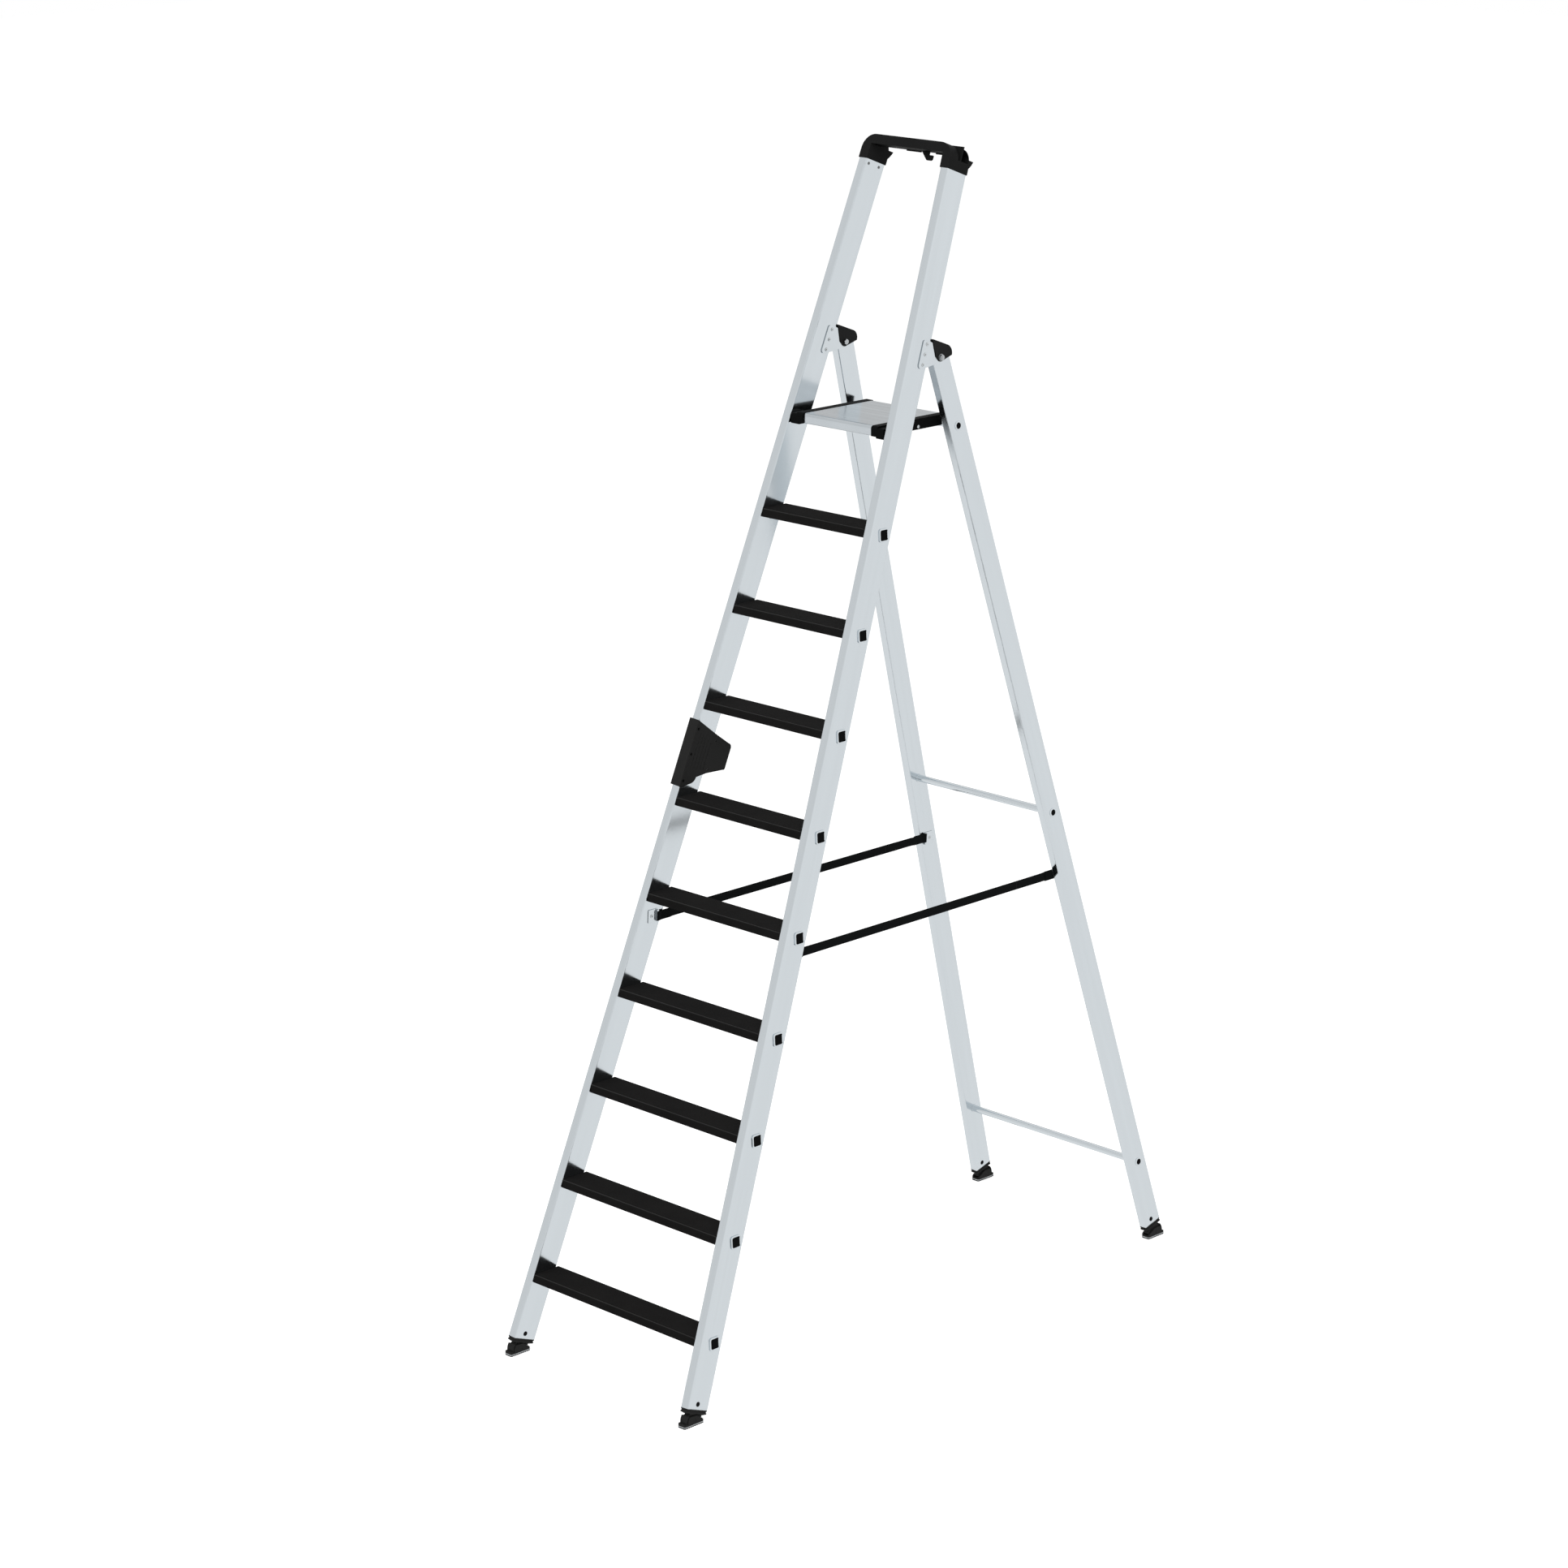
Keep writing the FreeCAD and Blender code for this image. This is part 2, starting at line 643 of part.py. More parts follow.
def step(index):
    """One step: a square tube through both stiles, carrying a plate with a front lip."""
    y, z = front_point(step_along(index), STEP_BACK)
    half = STEP_TUBE / 2
    reach = outer_half(step_along(index)) + OVERSHOOT
    outer = rounded_square(STEP_TUBE, STEP_TUBE_CORNER + STEP_TUBE_WALL)
    inner = rounded_square(STEP_TUBE - 2 * STEP_TUBE_WALL, STEP_TUBE_CORNER)
    tube = prism_x(moved_path(outer, y, z), -reach, reach)
    bore = prism_x(moved_path(inner, y, z), -FAR, FAR)
    tube = tube.common(placed(between_stiles(0.0, outer_half), FRONT))
    front = TREAD_THICK - TREAD_FRONT
    back = TREAD_REAR - TREAD_THICK
    lip = half + STEP_PLATE - STEP_PLATE_LIP
    plate_path = [
        (front, half + STEP_PLATE),
        (front, lip),
        (front + STEP_PLATE, lip),
        (front + STEP_PLATE, half),
        (back, half),
        (back, half + STEP_PLATE),
    ]
    plate = prism_x(moved_path(plate_path, y, z), -reach, reach)
    plate = plate.common(placed(between_stiles(TREAD_END_GAP), FRONT))
    return tube.fuse([plate] + pair(step_flange(index))).cut(bore)


def tread(index):
    """One moulded tread, clipped over its step's plate."""
    y, z = front_point(step_along(index), STEP_BACK)
    under = STEP_TUBE / 2 + STEP_PLATE
    top = under + TREAD_THICK
    knee = TREAD_NOSE * (1 - math.sqrt(0.5))
    front = -TREAD_FRONT
    lip = top - TREAD_LIP
    path = [
        (front + TREAD_THICK, lip),
        (front, lip),
        (front, top - TREAD_NOSE),
        ((front + knee, top - knee), (front + TREAD_NOSE, top)),
        (TREAD_REAR - 1, top),
        (TREAD_REAR, top - 1),
        (TREAD_REAR, top - TREAD_REAR_LIP),
        (TREAD_REAR - TREAD_THICK, top - TREAD_REAR_LIP),
        (TREAD_REAR - TREAD_THICK, under),
        (front + TREAD_THICK, under),
    ]
    reach = outer_half(step_along(index))
    solid = prism_x(moved_path(path, y, z), -reach, reach)
    return solid.common(placed(between_stiles(TREAD_END_GAP), FRONT))


# ---------------------------------------------------------------- top cap

def cap_leg(outside, base, high, y0, y1):
    """A slice of the right leg of the cap, between two heights of the front frame."""
    path = [
        (inner_half(base) - CAP_WALL, base),
        (outer_half(base) + outside, base),
        (outer_half(high) + outside, high),
        (inner_half(high) - CAP_WALL, high),
    ]
    return prism_y(path, y0, y1)


def cap_bar():
    """The front bar of the cap, with its rounded shoulders and two legs."""
    base = STILE_TOP - CAP_SKIRT
    top = base + CAP_TOP
    under = top - CAP_BAR
    spring = top - CAP_CORNER
    shoulder = outer_half(spring) + CAP_WALL
    knee = CAP_CORNER * (1 - math.sqrt(0.5))
    leg_low = inner_half(base) - CAP_WALL
    leg_high = inner_half(under) - CAP_WALL
    path = [
        (outer_half(base) + CAP_WALL, base),
        (shoulder, spring),
        ((shoulder - knee, top - knee), (shoulder - CAP_CORNER, top)),
        (CAP_CORNER - shoulder, top),
        ((knee - shoulder, top - knee), (-shoulder, spring)),
        (-outer_half(base) - CAP_WALL, base),
        (-leg_low, base),
        (-leg_high, under),
        (leg_high, under),
        (leg_low, base),
    ]
    return prism_y(path, -CAP_WALL, CAP_BAR_DEPTH)


def cap_floor_height(back):
    """Height up the front frame of the cap's floor, which is level, at a distance behind the front."""
    slope = math.tan(math.radians(FRONT_LEAN))
    return STILE_TOP - CAP_SKIRT + CAP_FLOOR + (back - CAP_BAR_DEPTH) * slope


def cap_hook():
    """The hook moulded below the floor, open towards the right."""
    top = cap_floor_height(CAP_BAR_DEPTH) + OVERSHOOT
    low = top - CAP_HOOK_DROP
    mouth = top - CAP_HOOK_MOUTH
    x = CAP_HOOK_AT
    tip = x + CAP_HOOK_LONG
    knee = CAP_HOOK_CORNER * (1 - math.sqrt(0.5))
    path = [
        (x, top),
        (x + CAP_HOOK_SLOPE, low),
        (tip - CAP_HOOK_CORNER, low),
        ((tip - knee, low + knee), (tip, low + CAP_HOOK_CORNER)),
        (tip, mouth),
        (x + CAP_HOOK_THROAT, mouth),
        (x + CAP_HOOK_THROAT, top),
    ]
    front = CAP_BAR_DEPTH - OVERSHOOT
    return prism_y(path, front, front + CAP_HOOK_THICK)


def cap_lug():
    """The hook at the back of the right leg."""
    base = STILE_TOP - CAP_SKIRT
    back = FRONT_STILE_DEPTH
    sunk = back - 2 * OVERSHOOT
    low = base + CAP_LUG_LOW
    high = base + CAP_LUG_TOP
    via = (back + CAP_LUG_BOW, (low + high) / 2)
    path = [(back, low), (via, (back + CAP_LUG_REACH, high)), (sunk, high), (sunk, low)]
    wide = prism_x(path, 0, FAR)
    return wide.common(cap_leg(CAP_WALL, base, base + CAP_TOP, 0, back + 2 * CAP_LUG_REACH))


def cap_shell_profile(half):
    """The block under the cap's rear shell: a quarter round behind the rib, square in front of it."""
    ledge = STILE_TOP - CAP_SKIRT + CAP_LEDGE
    centre = CAP_RIB_BACK + CAP_RIB - OVERSHOOT
    front = CAP_BAR_DEPTH - OVERSHOOT - centre
    path = [
        (front, -OVERSHOOT),
        (CAP_SHELL_RADIUS, -OVERSHOOT),
        (CAP_SHELL_RADIUS, 0),
        (on_circle(CAP_SHELL_RADIUS, 45), (0, CAP_SHELL_RADIUS)),
        (front, CAP_SHELL_RADIUS),
    ]
    return prism_x(moved_path(path, centre, ledge), -half, half)


def cap_shell(half):
    """The cap's rib and thin rear shell, with the room above the level floor kept clear of walls below."""
    base = STILE_TOP - CAP_SKIRT
    ledge = base + CAP_LEDGE
    top = base + CAP_TOP
    centre = CAP_RIB_BACK + CAP_RIB - OVERSHOOT
    inner_radius = CAP_SHELL_RADIUS - CAP_SHELL
    rib = box(-half, half, CAP_RIB_BACK, CAP_RIB_BACK + CAP_RIB, ledge - OVERSHOOT, top + OVERSHOOT)
    ring_path = [
        (CAP_SHELL_RADIUS, 0),
        (on_circle(CAP_SHELL_RADIUS, 45), (0, CAP_SHELL_RADIUS)),
        (0, inner_radius),
        (on_circle(inner_radius, 45), (inner_radius, 0)),
    ]
    ring = prism_x(moved_path(ring_path, centre, ledge), -half, half)
    inner = inner_half(ledge) - CAP_WALL
    back = 2 * FRONT_STILE_DEPTH
    below_path = [
        (0, base),
        (back, base),
        (back, cap_floor_height(back)),
        (0, cap_floor_height(0)),
    ]
    below = prism_x(below_path, -inner, inner)
    return rib.fuse(ring).cut(below)


def cap_floor(half):
    """The cap's level floor, with two shallow pads below its front edge."""
    ledge = STILE_TOP - CAP_SKIRT + CAP_LEDGE
    inner = inner_half(ledge)
    front = CAP_BAR_DEPTH - OVERSHOOT
    back = FRONT_STILE_DEPTH
    path = [
        (front, cap_floor_height(front)),
        (back, cap_floor_height(back)),
        (back, cap_floor_height(back) + CAP_FLOOR_THICK),
        (front, cap_floor_height(front) + CAP_FLOOR_THICK),
    ]
    plate = prism_x(path, -inner, inner).common(cap_shell_profile(half))
    pads = []
    height = cap_floor_height(CAP_BAR_DEPTH)
    for x0, x1 in CAP_PADS:
        pads.append(box(x0, x1, front, front + CAP_PAD_WIDE, height - CAP_PAD_DEEP, height + OVERSHOOT))
    return plate.fuse(pads)


def cap_cheek(half):
    """The wall that closes the rear shell over the right stile's inner face."""
    base = STILE_TOP - CAP_SKIRT
    ledge = base + CAP_LEDGE
    top = base + CAP_TOP
    path = [
        (inner_half(ledge - OVERSHOOT) - CAP_WALL, ledge - OVERSHOOT),
        (inner_half(ledge - OVERSHOOT) + CAP_WALL, ledge - OVERSHOOT),
        (inner_half(top) + CAP_WALL, top),
        (inner_half(top) - CAP_WALL, top),
    ]
    slab = prism_y(path, 0, 2 * FRONT_STILE_DEPTH)
    return slab.common(cap_shell_profile(half))


def top_tray():
    """The moulded cap over both stiles: bar, rib, rounded rear shell, floor and hooks."""
    base = STILE_TOP - CAP_SKIRT
    ledge = base + CAP_LEDGE
    half = outer_half(ledge) + CAP_WALL
    leg = cap_leg(CAP_WALL, base, ledge, CAP_BAR_DEPTH, FRONT_STILE_DEPTH + CAP_WALL)
    pieces = [cap_shell(half), cap_floor(half), cap_hook()]
    pieces += pair(leg) + pair(cap_cheek(half)) + pair(cap_lug())
    cap = cap_bar().fuse(pieces)
    low = stile_length(base) - 2 * CAP_SKIRT
    socket = box(-FRONT_STILE_WIDTH - PLUG_FIT, PLUG_FIT, -PLUG_FIT, FRONT_STILE_DEPTH + PLUG_FIT, low,
                 stile_length(STILE_TOP))
    to_frame = FRONT.inverse().multiply(FRONT_STILE)
    cap = cap.cut(pair(placed(socket, to_frame)))
    return placed(cap, FRONT)


def top_tray_screws():
    """Two pan-headed screws through each stile's inner wall into the cap's legs."""
    screws = []
    face = -FRONT_STILE_WIDTH
    up = stile_length(STILE_TOP - CAP_SCREW_DROP, FRONT_STILE_WIDTH)
    for back in CAP_SCREWS_BACK:
        head = domed_head(SCREW_HEAD, SCREW_RIM, SCREW_HEAD_HIGH - SCREW_RIM, face, back, up, -1)
        shank = rod_x(SCREW_SHANK, face, face + SCREW_LONG, back, up)
        screws += pair(placed(head.fuse(shank), FRONT_STILE))
    return Part.makeCompound(screws)


# ---------------------------------------------------------------- hinge

def hinge_on_stile(path):
    """A path given from the hinge pin, moved to the stile's own frame."""
    return moved_path(path, HINGE_BEHIND, HINGE_ON_STILE)


def plate_path():
    """Outline of a hinge plate about the hinge pin."""
    top_point = (-PLATE_TOP_REACH, PLATE_TOP)
    low_point = (-PLATE_LOW_REACH, -PLATE_LOW)
    high = tangent_point(top_point, PLATE_BOSS, -1)
    low = tangent_point(low_point, PLATE_BOSS, 1)
    front = -PLATE_FRONT
    knee = PLATE_CORNER * (1 - math.sqrt(0.5))
    foot_knee = PLATE_FOOT_CORNER * (1 - math.sqrt(0.5))
    return [
        (front, -PLATE_FOOT + PLATE_FOOT_CORNER),
        (front, PLATE_TOP - PLATE_CORNER),
        ((front + knee, PLATE_TOP - knee), (front + PLATE_CORNER, PLATE_TOP)),
        top_point,
        high,
        (on_circle(PLATE_BOSS, 0), low),
        low_point,
        (front + PLATE_FOOT_CORNER, -PLATE_FOOT),
        ((front + foot_knee, foot_knee - PLATE_FOOT), (front, -PLATE_FOOT + PLATE_FOOT_CORNER)),
    ]


def hinge_plates():
    """The outer and inner plates of the right hinge."""
    path = hinge_on_stile(plate_path())
    plates = []
    for x0 in (0, -FRONT_STILE_WIDTH - PLATE_THICK):
        plate = prism_x(path, x0, x0 + PLATE_THICK)
        holes = []
        for up in hinge_rivets_up():
            holes.append(rod_x(RIVET_RADIUS, -60, 60, HINGE_BEHIND - HINGE_RIVET_AHEAD, up))
        plate = placed(plate.cut(holes), FRONT_STILE)
        plates.append(plate.cut(hinge_axis_rod(HINGE_SHANK, 0, FAR)))
    return Part.makeCompound(plates)


def cover_roof(inset):
    """The cover's roof line from the front stile round the rear stile's head, inside its surface."""
    top = COVER_TOP - inset
    bend = COVER_REACH - COVER_BEND
    end = on_circle(COVER_REACH - inset, COVER_END)
    fall = top - end[1]
    radius = ((end[0] - bend) ** 2 + fall ** 2) / (2 * fall)
    half_turn = math.acos(1 - fall / radius) / 2
    via = (bend + radius * math.sin(half_turn), top - radius * (1 - math.cos(half_turn)))
    return [(SEAT_GAP - HINGE_BACK, top), (bend, top), (via, end)]


def hinge_cover():
    """The moulded cover of the right hinge: two cheeks outside the plates and a roof between."""
    roof = cover_roof(0.0)
    front = roof[0][0]
    end = roof[-1][1]
    cheek_top = COVER_TOP - COVER_CHEEK_DROP
    cheek_path = roof + [
        tangent_point(end, COVER_BOSS, -1),
        (on_circle(COVER_BOSS, -COVER_BOSS_MIDDLE), on_circle(COVER_BOSS, -COVER_BOSS_END)),
        COVER_CHEEK_FOOT,
        (front + COVER_CHEEK_STEP, cheek_top),
        (front, cheek_top),
    ]
    inside = cover_roof(COVER_WEB)
    roof_path = roof + [inside[2][1], (inside[2][0], inside[1]), inside[0]]
    outer_x = PLATE_THICK
    inner_x = -FRONT_STILE_WIDTH - PLATE_THICK
    cheek = hinge_on_stile(cheek_path)
    outer = prism_x(cheek, outer_x, outer_x + COVER_WALL)
    inner = prism_x(cheek, inner_x - COVER_WALL, inner_x)
    web = prism_x(hinge_on_stile(roof_path), inner_x - COVER_WALL, outer_x + COVER_WALL)
    cover = placed(web.fuse([outer, inner]), FRONT_STILE)
    return cover.cut(hinge_axis_rod(HINGE_SHANK, 0, FAR))


def hinge_axis_up(x):
    """Height of the hinge axis in the stile's own frame, at a distance from its outer face."""
    return HINGE_ON_STILE - (x + FRONT_STILE_WIDTH / 2) * TAPER


def hinge_bolts():
    """The hinge bolts, with a washer and nut outside the ladder and a plain nut inside."""
    outside = PLATE_THICK + COVER_WALL
    inside = -FRONT_STILE_WIDTH - PLATE_THICK - COVER_WALL
    seat = outside + HINGE_WASHER
    washer = rod_x(HINGE_WASHER_RADIUS, outside, seat, HINGE_BEHIND, hinge_axis_up(outside))
    outer_nut = crowned_nut(seat, HINGE_BEHIND, hinge_axis_up(seat), 1)
    inner_nut = crowned_nut(inside, HINGE_BEHIND, hinge_axis_up(inside), -1)
    face = outer_half(HINGE_ALONG)
    shank = hinge_axis_rod(HINGE_SHANK, face + inside - NUT_HIGH, face + seat + NUT_HIGH + SHANK_PROUD)
    nuts = [placed(outer_nut, FRONT_STILE), placed(inner_nut, FRONT_STILE)]
    bolt = placed(washer, FRONT_STILE).fuse(nuts + [shank])
    return Part.makeCompound(pair(bolt))


def front_frame_rivets():
    """Rivets through the hinge plates, and the front strap clips' rivets."""
    rivets = []
    back = HINGE_BEHIND - HINGE_RIVET_AHEAD
    outside = PLATE_THICK
    inside = -FRONT_STILE_WIDTH - PLATE_THICK
    for up in hinge_rivets_up():
        shank = rod_x(RIVET_RADIUS, inside, outside, back, up)
        heads = [rivet_head(outside, back, up, 1), rivet_head(inside, back, up, -1)]
        rivets += pair(placed(shank.fuse(heads), FRONT_STILE))
    face = -FRONT_STILE_WIDTH - CLIP_THICK
    up = stile_length(STRAP_ALONG, FRONT_STILE_WIDTH)
    head = rivet_head(face, STRAP_BACK, up, -1)
    shank = rod_x(RIVET_RADIUS, face, -FRONT_STILE_WIDTH + FRONT_STILE_WALL + OVERSHOOT, STRAP_BACK, up)
    rivets += pair(placed(shank.fuse(head), FRONT_STILE))
    return Part.makeCompound(rivets)


# ---------------------------------------------------------------- grip pad

def grip_pad():
    """The moulded hand pad: it wraps the left stile's front and covers part of its inner side."""
    middle = stile_length(PAD_ALONG, FRONT_STILE_WIDTH)
    inner = -FRONT_STILE_WIDTH - PAD_THICK
    path = [
        (-PAD_THICK, PAD_UP),
        (-PAD_THICK, -PAD_DOWN),
        PAD_TOE,
        PAD_THUMB_LOW,
        (PAD_THUMB_MIDDLE, PAD_THUMB_HIGH),
        PAD_PALM,
        PAD_HEEL_LOW,
        (PAD_HEEL_ROUND, (PAD_BACK, PAD_HEEL_UP)),
        (PAD_BACK, PAD_BACK_UP),
        (PAD_CROWN_ROUND, PAD_CROWN),
        PAD_SHOULDER,
    ]
    side = prism_x(moved_path(path, 0, middle), inner, -FRONT_STILE_WIDTH)
    front = box(inner, PAD_LIP, -PAD_THICK, 0, middle - PAD_DOWN, middle + PAD_UP)
    lip = box(0, PAD_LIP, 0, PAD_LIP, middle - PAD_DOWN, middle + PAD_UP)
    holes = []
    for up in PAD_SCREWS_UP:
        tip = PAD_SCREW_TIP - FRONT_STILE_WIDTH
        holes.append(rod_x(SCREW_SHANK, inner - OVERSHOOT, tip, PAD_SCREW_BACK, middle + up))
    sunk = OVERSHOOT - FRONT_STILE_WIDTH
    for back, up in PAD_HOLES:
        holes.append(rod_x(PAD_HOLE_RADIUS, inner - OVERSHOOT, sunk, back, middle + up))
    for i in range(PAD_GROOVES):
        y0 = PAD_GROOVE_FIRST + i * PAD_GROOVE_PITCH
        low = middle - PAD_GROOVE_DOWN
        holes.append(box(inner - OVERSHOOT, inner + PAD_GROOVE_DEEP, y0, y0 + PAD_GROOVE_WIDE, low,
                         middle + PAD_GROOVE_UP - i * PAD_GROOVE_STEP))
    pad = side.fuse([front, lip]).removeSplitter().cut(holes)
    return mirrored(placed(pad, FRONT_STILE))


def grip_pad_screws():
    """The pad's three screws, set along its front inner edge."""
    middle = stile_length(PAD_ALONG, FRONT_STILE_WIDTH)
    face = -FRONT_STILE_WIDTH - PAD_THICK
    screws = []
    for up in PAD_SCREWS_UP:
        head = domed_head(SCREW_HEAD, PAD_SCREW_RIM, PAD_SCREW_DOME, face, PAD_SCREW_BACK, middle + up, -1)
        shank = rod_x(SCREW_SHANK, face, -FRONT_STILE_WIDTH - SKIM, PAD_SCREW_BACK, middle + up)
        screws.append(mirrored(placed(head.fuse(shank), FRONT_STILE)))
    return Part.makeCompound(screws)


# ---------------------------------------------------------------- straps

FRONT_RIVET = front_point(STRAP_ALONG, STRAP_BACK)
REAR_RIVET = rear_point(STRAP_RIVET_DOWN, STRAP_RIVET_BACK)
STRAP_Z = (FRONT_RIVET[1] + REAR_RIVET[1]) / 2
STRAP_FRONT_Y = FRONT_RIVET[0] - CLIP_RIVET_IN + CLIP_LONG
STRAP_REAR_Y = REAR_RIVET[0] + CLIP_RIVET_IN - CLIP_LONG


def level_in(frame_lean):
    """Rotation that levels a piece drawn in a frame leaning by an angle."""
    return FreeCAD.Rotation(Vec(1, 0, 0), frame_lean)


def strap_clip(rivet, way):
    """A level clip in its stile's frame about its rivet: a plate with a rolled end for the strap."""
    far = CLIP_LONG - CLIP_RIVET_IN
    high = CLIP_HIGH / 2
    roll_half = high - CLIP_CORNER
    if way > 0:
        y0, y1 = -CLIP_RIVET_IN, far
        roll = box(-CLIP_BARREL, -CLIP_THICK, far - CLIP_BARREL, far, -roll_half, roll_half)
    else:
        y0, y1 = -far, CLIP_RIVET_IN
        roll = box(-CLIP_BARREL, -CLIP_THICK, -far, CLIP_BARREL - far, -roll_half, roll_half)
    path = rounded_path(y0, y1, -high, high, CLIP_CORNER)
    plate = prism_x(path, -CLIP_THICK, 0)
    clip = plate.fuse(roll).cut(rod_x(RIVET_RADIUS, -FAR, FAR, 0, 0))
    return placed(clip, rivet)


def front_strap_clips():
    """The clips on the front stiles' inner faces."""
    up = stile_length(STRAP_ALONG, FRONT_STILE_WIDTH)
    seat = FreeCAD.Placement(Vec(-FRONT_STILE_WIDTH, STRAP_BACK, up), level_in(FRONT_LEAN))
    clip = strap_clip(FRONT_STILE.multiply(seat), 1)
    return Part.makeCompound(pair(clip))


def rear_strap_clips():
    """The clips on the rear stiles' inner faces."""
    up = -stile_length(STRAP_RIVET_DOWN)
    seat = FreeCAD.Placement(Vec(-REAR_STILE_WIDTH, STRAP_RIVET_BACK, up), level_in(-REAR_LEAN))
    clip = strap_clip(REAR_STILE.multiply(seat), -1)
    return Part.makeCompound(pair(clip))


def rear_strap_rivets():
    """The rear clips' rivets."""
    face = -REAR_STILE_WIDTH - CLIP_THICK
    up = -stile_length(STRAP_RIVET_DOWN)
    head = rivet_head(face, STRAP_RIVET_BACK, up, -1)
    shank = rod_x(RIVET_RADIUS, face, -REAR_STILE_WIDTH + REAR_STILE_WALL + OVERSHOOT, STRAP_RIVET_BACK, up)
    return Part.makeCompound(pair(placed(shank.fuse(head), REAR_STILE)))


def strap():
    """The right strap: webbing with a thicker sewn end at each clip."""
    front_x = inner_half(STRAP_ALONG) - CLIP_BARREL / 2 - CLIP_THICK / 2
    rear_x = rear_inner_half(STRAP_RIVET_DOWN) - CLIP_BARREL / 2 - CLIP_THICK / 2
    y0 = STRAP_FRONT_Y + SEAT_GAP
    y1 = STRAP_REAR_Y - SEAT_GAP
    length = y1 - y0

    def band(thick, wide, start, end):
        return box(-thick / 2, thick / 2, start, end, -wide / 2, wide / 2)

    webbing = band(STRAP_THICK, STRAP_WIDE, 0, length)
    front_end = band(STRAP_SEWN_THICK, STRAP_SEWN_WIDE, 0, STRAP_SEWN_LONG)
    rear_end = band(STRAP_SEWN_THICK, STRAP_SEWN_WIDE, length - STRAP_SEWN_LONG, length)
    turn = math.degrees(math.atan2(front_x - rear_x, length))
    place = FreeCAD.Placement(Vec(front_x, y0, STRAP_Z), FreeCAD.Rotation(Vec(0, 0, 1), turn))
    return placed(webbing.fuse([front_end, rear_end]), place)


# ---------------------------------------------------------------- rear frame

def rear_stile():
    """Right rear stile, rounded off at the head so that it turns inside the hinge cover."""
    head = stile_length(REAR_STILE_HEAD)
    foot = -stile_length(REAR_FOOT_DOWN - REAR_SHANK)
    width = REAR_STILE_WIDTH
    wall = REAR_STILE_WALL
    front = REAR_STILE_FRONT
    back = front + REAR_STILE_DEPTH
    tube = rounded_bar(-width, 0, front, back, STILE_CORNER, foot, head)
    inner_corner = STILE_CORNER - wall / 2
    bore = rounded_bar(wall - width, -wall, front + wall, back - wall, inner_corner, foot - 1, head + 1)
    holes = [
        rod_x(RIVET_RADIUS, -width - 1, -width / 2, STRAP_RIVET_BACK, -stile_length(STRAP_RIVET_DOWN)),
        rod_x(SNAP_RADIUS, -width - 1, 1, REAR_MIDDLE - SNAP_AHEAD, foot + SNAP_UP),
    ]
    stile = placed(tube.cut(bore).cut(holes), REAR_STILE)
    turning = Part.makeCylinder(REAR_HEAD_RADIUS, FAR, Vec(0, HINGE_Y, HINGE_Z), Vec(1, 0, 0))
    below = placed(box(0, FAR, -FAR, FAR, -STILE_TOP, 0), REAR)
    stile = stile.common(turning.fuse(below))
    cuts = [hinge_axis_rod(BUSH_RADIUS, 0, FAR)]
    for down in TUBES_DOWN.values():
        y, z = rear_point(down, TUBE_BACK)
        cuts.append(rod_x(TUBE_RADIUS + HOLE_CLEARANCE, 0, FAR, y, z))
    return stile.cut(cuts)


def hinge_bushes():
    """Plastic bushes in the rear stiles' heads, running on the hinge bolts."""
    middle = outer_half(HINGE_ALONG) - FRONT_STILE_WIDTH / 2 / TAPER_COS
    half = FRONT_STILE_WIDTH / 2 - BUSH_RADIUS * TAPER - BUSH_END_PLAY / 2
    sleeve = hinge_axis_rod(BUSH_RADIUS, middle - half, middle + half)
    bore = hinge_axis_rod(HINGE_SHANK + RUNNING_FIT, 0, FAR)
    return Part.makeCompound(pair(sleeve.cut(bore)))


def tube_flare():
    """The rounded ring that clamps a cross tube outside the right rear stile, belled at its mouth."""
    bore = TUBE_RADIUS - TUBE_WALL
    rim = TUBE_RADIUS + TUBE_FLARE
    crest = (TUBE_FLARE_PROUD, TUBE_RADIUS)
    knee = TUBE_FLARE_PROUD * (1 - math.sqrt(0.5))
    path = [
        (0, bore),
        (0, rim),
        ((TUBE_FLARE_PROUD - knee, rim - knee), crest),
        (TUBE_FLARE_PROUD, bore + TUBE_MOUTH),
        (TUBE_FLARE_PROUD - TUBE_MOUTH, bore),
    ]
    return turned(path, 0, 0, 0, 1)


def cross_tube(down):
    """A round cross tube, swaged to a flared ring outside and a bead inside each rear stile."""
    y, z = rear_point(down, TUBE_BACK)
    reach = rear_outer_half(down) + OVERSHOOT
    tube = rod_x(TUBE_RADIUS, -reach, reach, y, z)
    bore = rod_x(TUBE_RADIUS - TUBE_WALL, -FAR, FAR, y, z)
    tube = tube.common(placed(between_stiles(0.0, lambda along: rear_outer_half(-along)), REAR))
    up = -stile_length(down)
    seat = REAR_STILE.multiply(FreeCAD.Placement(Vec(0, TUBE_BACK, up), FreeCAD.Rotation()))
    face = -REAR_STILE_WIDTH
    bead = rod_x(TUBE_RADIUS + TUBE_BEAD, face - TUBE_BEAD_LONG, face, TUBE_BACK, up - face * TAPER)
    ends = pair(placed(tube_flare(), seat)) + pair(placed(bead, REAR_STILE))
    return tube.fuse(ends).cut(bore)


# ---------------------------------------------------------------- platform

def saddle():
    """The space that the support tube needs under the platform, open downwards and forwards."""
    y, z = SUPPORT_TUBE
    radius = TUBE_RADIUS + SEAT_GAP
    drop = DECK_THICK
    swing = drop * math.tan(math.radians(SADDLE_OPENING))
    path = [
        (-radius, 0),
        (-radius - swing, -drop),
        (radius, -drop),
        (radius, 0),
    ]
    slot = prism_x(moved_path(path, y, z), -FAR, FAR)
    return slot.fuse(rod_x(radius, -FAR, FAR, y, z))


